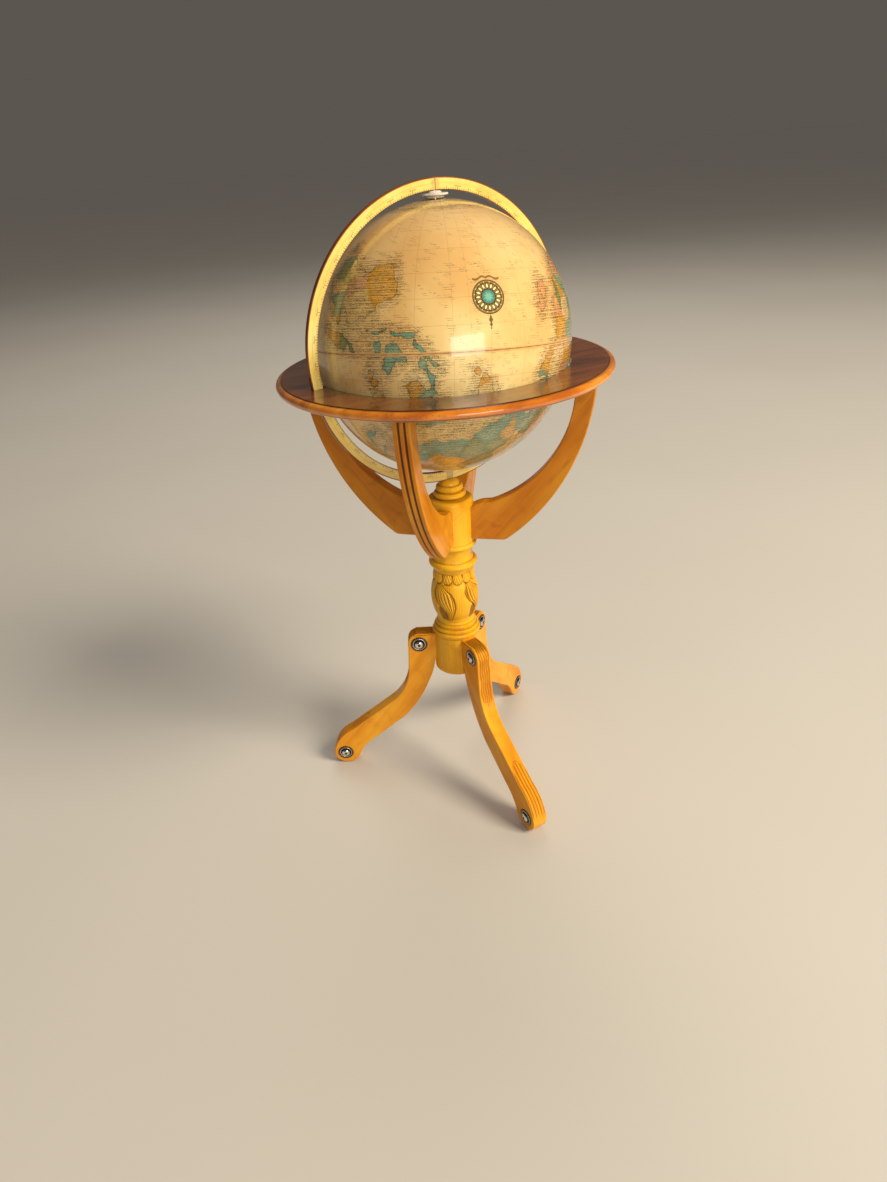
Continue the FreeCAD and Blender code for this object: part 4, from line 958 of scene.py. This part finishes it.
def baluster_carving(degrees, height):
    """Depth of the carving in millimetres: four swept leaves, plain ribbed panels, and a collar of petals."""
    share = np.clip((height - LEAF_FOOT) / LEAF_RISE, 0, 1)
    bulb = fade(height, 260, 264) * (1 - fade(height, 329.5, 330.5))
    across = (degrees - 29 + 45) % 90 - 45
    levels, middles, halves = np.array(LEAF).T
    place = (across - np.interp(share, levels, middles)) / np.interp(share, levels, halves)
    leaf = 1 - fade(np.abs(place), 0.95, 1.03)
    veins = np.abs(np.cos(math.pi * (place * 2.7 + 0.3 * np.sin(share * 5))))
    blade = 0.1 + 2.1 * (1 - veins ** 0.8) + 0.7 * fade(-place, 0.1, 0.9)
    rim = np.exp(-((np.abs(place) - 1.1) / 0.09) ** 2) * 1.9
    pocket = 3.4 * np.exp(-((across + 5) / 12) ** 4 - ((share - 0.2) / 0.18) ** 4) * (1 - leaf)
    ribs = 0.35 * np.abs(np.sin(math.pi * across / 5.6)) ** 0.5 * fade(share, 0.04, 0.2)
    tooling = 0.08 * np.sin(across * 2.3 + 1.5 * np.sin(height * 0.21))
    ground = np.where(leaf > 0.5, blade, 0.75 - ribs + tooling) + rim + pocket
    # Collar of petals whose rounded tips overhang the bulb.
    petal = np.abs(((degrees + 6) % 30) / 30 - 0.5) * 2
    tip = 321.5 + 6.0 * petal ** 2.2
    collar = fade(height, tip - 0.4, tip + 0.5) * (1 - fade(height, 334.4, 335.0))
    creases = np.abs(np.sin(math.pi * (petal * 2.4 + 0.1 * (height - 325))))
    petals = 0.1 + 2.0 * petal ** 5 + 1.4 * (1 - creases ** 0.6)
    under = 1.4 * np.exp(-((height - tip + 1.6) / 1.3) ** 2) * bulb
    carved = bulb * (1 - collar) * (0.35 + ground + under) + collar * petals
    # Fine rings in the mouldings under the bulb.
    rings = sum(np.exp(-((height - level) / 0.45) ** 2) for level in MOULDING_LINES)
    return carved + 0.45 * rings


def carved_baluster(material):
    columns = 400
    outline, _ = walk(BALUSTER_PATH, 0.55)
    outline = outline[outline[:, 0] > 0.01]
    # The worked side runs from the foot's rim to the top's rim; a centre point closes each end.
    side = outline[(outline[:, 1] > BALUSTER_FOOT) & (outline[:, 1] < BALUSTER_TOP)]
    side = np.concatenate(([[33, BALUSTER_FOOT]], side, [[30.9, BALUSTER_TOP]]))
    degrees = np.arange(columns) * 360 / columns
    turn = np.tile(np.radians(degrees), len(side))
    radius = np.repeat(side[:, 0], columns)
    height = np.repeat(side[:, 1], columns)
    deep = baluster_carving(np.tile(degrees, len(side)), height)
    points = np.stack(((radius - deep) * np.cos(turn), (radius - deep) * np.sin(turn), height), axis=1)
    points = np.concatenate((points, [[0, 0, BALUSTER_FOOT], [0, 0, BALUSTER_TOP]])) * MM
    faces = grid_faces(len(side), columns)
    close_ends(faces, len(side), columns, len(points) - 2)
    # hollow sets painted shade in the carving, and edge a painted highlight on its raised parts.
    hollow = np.concatenate((np.clip((deep - 0.8) / 1.9, 0, 1), [0, 0]))
    edge = np.concatenate((np.clip(1 - deep / 0.5, 0, 1) * (height > 256) * (height < 328), [0, 0]))
    return make_piece("baluster_carving", points, faces, material, "stand", "column_wood",
                      ["carved_baluster"], hollow=hollow, edge=edge)


# ---------------------------------------------------------------- rosettes

def turned_mesh(profile, segments):
    """Points and faces of a closed turning; the profile starts and ends on the axis."""
    profile = np.array(profile, float)
    ring = profile[1:-1]
    turn = np.arange(segments) * 2 * math.pi / segments
    points = [(r * math.cos(t), r * math.sin(t), h) for r, h in ring for t in turn]
    faces = grid_faces(len(ring), segments)
    close_ends(faces, len(ring), segments, len(points))
    points += [(0, 0, profile[0, 1]), (0, 0, profile[-1, 1])]
    return np.array(points), faces


def rosette_pieces(rim_material, dome_material):
    """Beaded rims and domed studs, on both faces of every leg."""
    plate, plate_faces = turned_mesh(
        [(0, 0), (11.6, 0), (12, 0.35), (11.9, 0.7), (9.7, 0.75), (9.3, 1.15), (8.7, 1.3), (8.2, 1.1),
         (7.9, 0.55), (6, 0.5), (0, 0.5)], 60)
    bead, bead_faces = turned_mesh(
        [(0, -0.75), (0.45, -0.6), (0.75, 0), (0.62, 0.42), (0.32, 0.68), (0, 0.75)], 12)
    dome, dome_faces = turned_mesh(
        [(0, -8.0), (1.2, -8.0), (1.2, 0.6), (7, 0.6), (7.0, 1.0), (6.5, 2.0), (5.2, 3.1), (3.6, 3.95),
         (2.4, 4.25), (1.9, 4.1), (1.5, 3.4), (0.9, 3.2), (0, 3.2)], 48)
    beads = 22
    sets = {"rims": ([], [], []), "studs": ([], [], [])}

    def put(which, points, faces, placement, hollow):
        gathered, gathered_faces, hollows = sets[which]
        start = sum(len(part) for part in gathered)
        homogeneous = np.c_[points, np.ones(len(points))] @ np.array(placement).T
        gathered.append(homogeneous[:, :3])
        gathered_faces.extend(tuple(start + index for index in face) for face in faces)
        hollows.append(hollow)

    # Painted shade: the plate is darkened except at its ridge, and the beads a little, so the beads stand out
    # light.
    plate_shade = np.clip(1 - np.abs(np.hypot(plate[:, 0], plate[:, 1]) - 8.7) / 0.9, 0, 1) < 0.3
    dome_reach = np.hypot(dome[:, 0], dome[:, 1])
    # Painted dark reflection in the dome's middle, and painted shade on its lower rim and base.
    dome_shade_and_reflection = ((dome_reach < 2.3) | (dome_reach > 6.2) | (dome[:, 2] < 0.9)).astype(float)
    for angle in LEG_ANGLES:
        turn = Matrix.Rotation(math.radians(angle), 4, "Z")
        for reach, height in ROSETTES:
            for side in (-1, 1):
                spot = Matrix.Translation((reach, side * LEG_THICK / 2, height))
                face = Matrix.Rotation(-side * math.pi / 2, 4, "X")
                placement = turn @ spot @ face
                put("rims", plate, plate_faces, placement, plate_shade.astype(float))
                put("studs", dome, dome_faces, placement, dome_shade_and_reflection)
                for number in range(beads):
                    around = Matrix.Rotation(2 * math.pi * number / beads, 4, "Z")
                    seat = placement @ around @ Matrix.Translation((10.75, 0, 0.75))
                    put("rims", bead, bead_faces, seat, np.full(len(bead), 0.35))
    for which, material, slot in (("rims", rim_material, "rosette_rim_metal"),
                                  ("studs", dome_material, "rosette_dome_metal")):
        gathered, gathered_faces, hollows = sets[which]
        make_piece(f"rosette_{which}_worked", np.concatenate(gathered) * MM, gathered_faces, material,
                   "stand", slot, [f"rosette_{which}"], hollow=np.concatenate(hollows))


# ---------------------------------------------------------------- materials on the pieces

GOLD = (srgb(246, 188, 52), srgb(232, 166, 28), srgb(190, 116, 10))
AMBER = (srgb(220, 150, 36), srgb(198, 118, 18), srgb(140, 68, 6))
HONEY = (srgb(248, 184, 54), srgb(230, 148, 28), srgb(190, 106, 12))
# Dark lines on the column: each quirk's height and half the width of its line. They are dark joints and
# painted shade in the quirks, and the wide one on the drum's top is painted shade under the finial.
QUIRKS = ((458.2, 0.5), (449.7, 0.6), (442.2, 1.2), (372.3, 0.5), (379.2, 0.25), (352.2, 0.5), (343.1, 0.3),
          (335.6, 0.5), (254.8, 0.5), (248.2, 0.4), (242.2, 0.4), (234.0, 0.4), (226.0, 0.2))


def dress(material, *nodes):
    """Give CAD nodes that stay shown a material."""
    for node in nodes:
        mesh = NODES[node].data
        mesh.materials.clear()
        mesh.materials.append(material)


column_wood = wood("column_wood", *GOLD, shade_strength=0.72, quirks=QUIRKS)
arm_wood = wood("arm_wood", *AMBER, marked=True, shade_strength=0.9)
leg_wood = wood("leg_wood", *HONEY, marked=True, shade_strength=0.7)
meridian_board = wood("meridian_board", srgb(160, 84, 36), srgb(124, 54, 20), srgb(78, 28, 10), gloss=0.08)
dowel_wood = wood("dowel_wood", srgb(232, 200, 150), srgb(214, 176, 120), srgb(180, 138, 86), gloss=0.4)
bare_board = plain_stuff("bare_board", srgb(176, 150, 112), srgb(140, 114, 80), 0.75)
glide_plastic = plain_stuff("glide_plastic", srgb(62, 54, 46), srgb(40, 34, 30), 0.5)
cap_plastic = plain_stuff("cap_plastic", srgb(226, 220, 206), srgb(196, 186, 166), 0.22, 40.0, 0.6)
bright_steel = metal("bright_steel", (0.72, 0.71, 0.68, 1), (0.5, 0.49, 0.46, 1), 0.22)
zinc_steel = metal("zinc_steel", (0.58, 0.59, 0.6, 1), (0.36, 0.37, 0.38, 1), 0.4)
brass_tube = metal("brass_tube", (0.83, 0.62, 0.28, 1), (0.5, 0.34, 0.12, 1), 0.3)
rim_metal = metal("rosette_rim_metal", (0.74, 0.7, 0.6, 1), (0.3, 0.27, 0.22, 1), 0.25)
dome_metal = metal("rosette_dome_metal", (0.86, 0.85, 0.83, 1), (0.6, 0.59, 0.57, 1), 0.12)

dress(column_wood, "column_finial", "upper_drum", "leg_hub")
dress(horizon_wood(), "horizon_ring")
dress(dowel_wood, "drum_dowels", "leg_dowels", "ring_dowels", "pole_blocks")
dress(meridian_board, "meridian_half_east", "meridian_half_west")
dress(scale_paper(), "meridian_scale_front", "meridian_scale_back")
dress(splice_paint(), "splice_plates")
dress(cap_plastic, "pole_caps")
dress(bright_steel, "pole_pins", "column_tie_rod")
dress(zinc_steel, "tie_rod_washers", "tie_rod_nuts")
dress(brass_tube, "pole_bushes")
dress(bare_board, "equator_hoop")
dress(tape_print(), "equator_tape")
dress(glide_plastic, "foot_glides")

printed = map_paper()
ball_half("upper", 1, printed)
ball_half("lower", -1, printed)
arms_and_legs(arm_wood, leg_wood)
carved_baluster(column_wood)
rosette_pieces(rim_metal, dome_metal)

# ---------------------------------------------------------------- floor, lights and camera

def floor():
    """A plain pale floor that reaches well past the view from every side."""
    mesh = bpy.data.meshes.new("floor")
    reach = 120.0
    mesh.from_pydata([(-reach, -reach, 0), (reach, -reach, 0), (reach, reach, 0), (-reach, reach, 0)], [],
                     [(0, 1, 2, 3)])
    net = Net("pale_floor", Roughness=0.7, Specular_IOR_Level=0.25)
    cloud = net.noise(net.place(), 1.2, 3.0)
    net.set(Base_Color=net.mix(cloud, srgb(196, 188, 176), srgb(204, 197, 186)))
    mesh.materials.append(net.material)
    placed("floor", mesh)


def area_light(name, bearing, elevation, distance, wide, high, power, colour, target, mirrored=True):
    """A soft rectangular light aimed at a target; an unmirrored one gives no reflection of itself."""
    light = bpy.data.lights.new(name, "AREA")
    light.shape = "RECTANGLE"
    light.size = wide
    light.size_y = high
    light.energy = power
    light.color = colour
    lamp = placed(name, light)
    turn = math.radians(bearing)
    lift = math.radians(elevation)
    away = Vector((math.cos(lift) * math.cos(turn), math.cos(lift) * math.sin(turn), math.sin(lift)))
    lamp.location = Vector(target) + distance * away
    lamp.rotation_euler = away.to_track_quat("Z", "Y").to_euler()
    lamp.visible_glossy = mirrored


def lights():
    middle = (0, 0, 0.45)
    area_light("window", 261, 7, 3.0, 1.5, 0.8, 26, (1.0, 0.97, 0.92), BALL_CENTRE)
    area_light("key", 303, 38, 5.0, 2.0, 2.0, 300, (1.0, 0.92, 0.76), middle, False)
    area_light("fill", 200, 35, 5.0, 3.0, 3.0, 3, (0.92, 0.96, 1.0), middle, False)
    area_light("back", 60, 50, 5.0, 3.0, 3.0, 86, (1.0, 0.97, 0.93), middle, False)
    world = bpy.data.worlds.new("studio")
    world.use_nodes = True
    nodes = world.node_tree.nodes
    links = world.node_tree.links
    sky = nodes["Background"]
    sky.inputs["Color"].default_value = (0.62, 0.60, 0.57, 1)
    sky.inputs["Strength"].default_value = 0.3
    # What the camera sees past the floor is the shade of the far floor, so that no horizon shows.
    seen = nodes.new("ShaderNodeBackground")
    seen.inputs["Color"].default_value = (0.105, 0.093, 0.078, 1)
    # Varnish mirrors a dim room.
    room = nodes.new("ShaderNodeBackground")
    room.inputs["Color"].default_value = (0.10, 0.085, 0.07, 1)
    ray = nodes.new("ShaderNodeLightPath")
    shown = sky
    for kind, other in (("Is Glossy Ray", room), ("Is Camera Ray", seen)):
        either = nodes.new("ShaderNodeMixShader")
        links.new(ray.outputs[kind], either.inputs[0])
        links.new(shown.outputs[0], either.inputs[1])
        links.new(other.outputs[0], either.inputs[2])
        shown = either
    links.new(shown.outputs[0], nodes["World Output"].inputs[0])
    bpy.context.scene.world = world
    bpy.context.scene.view_settings.view_transform = "Standard"


def camera():
    """The photograph's viewpoint."""
    lens = bpy.data.cameras.new("camera")
    lens.sensor_width = 36
    lens.lens = 23.815
    lens.shift_x = 0.0290
    lens.shift_y = 0.0108
    lens.clip_start = 0.05
    viewer = placed("camera", lens)
    ahead = Vector((0.38522, 0.77718, -0.49758)).normalized()
    across = Vector((0.87397, -0.48036, -0.07369))
    across = (across - across.dot(ahead) * ahead).normalized()
    upward = across.cross(ahead)
    turn = Matrix((across, upward, -ahead)).transposed().to_4x4()
    viewer.matrix_world = Matrix.Translation((-0.4872, -0.8355, 0.8353)) @ turn
    bpy.context.scene.camera = viewer


floor()
lights()
camera()
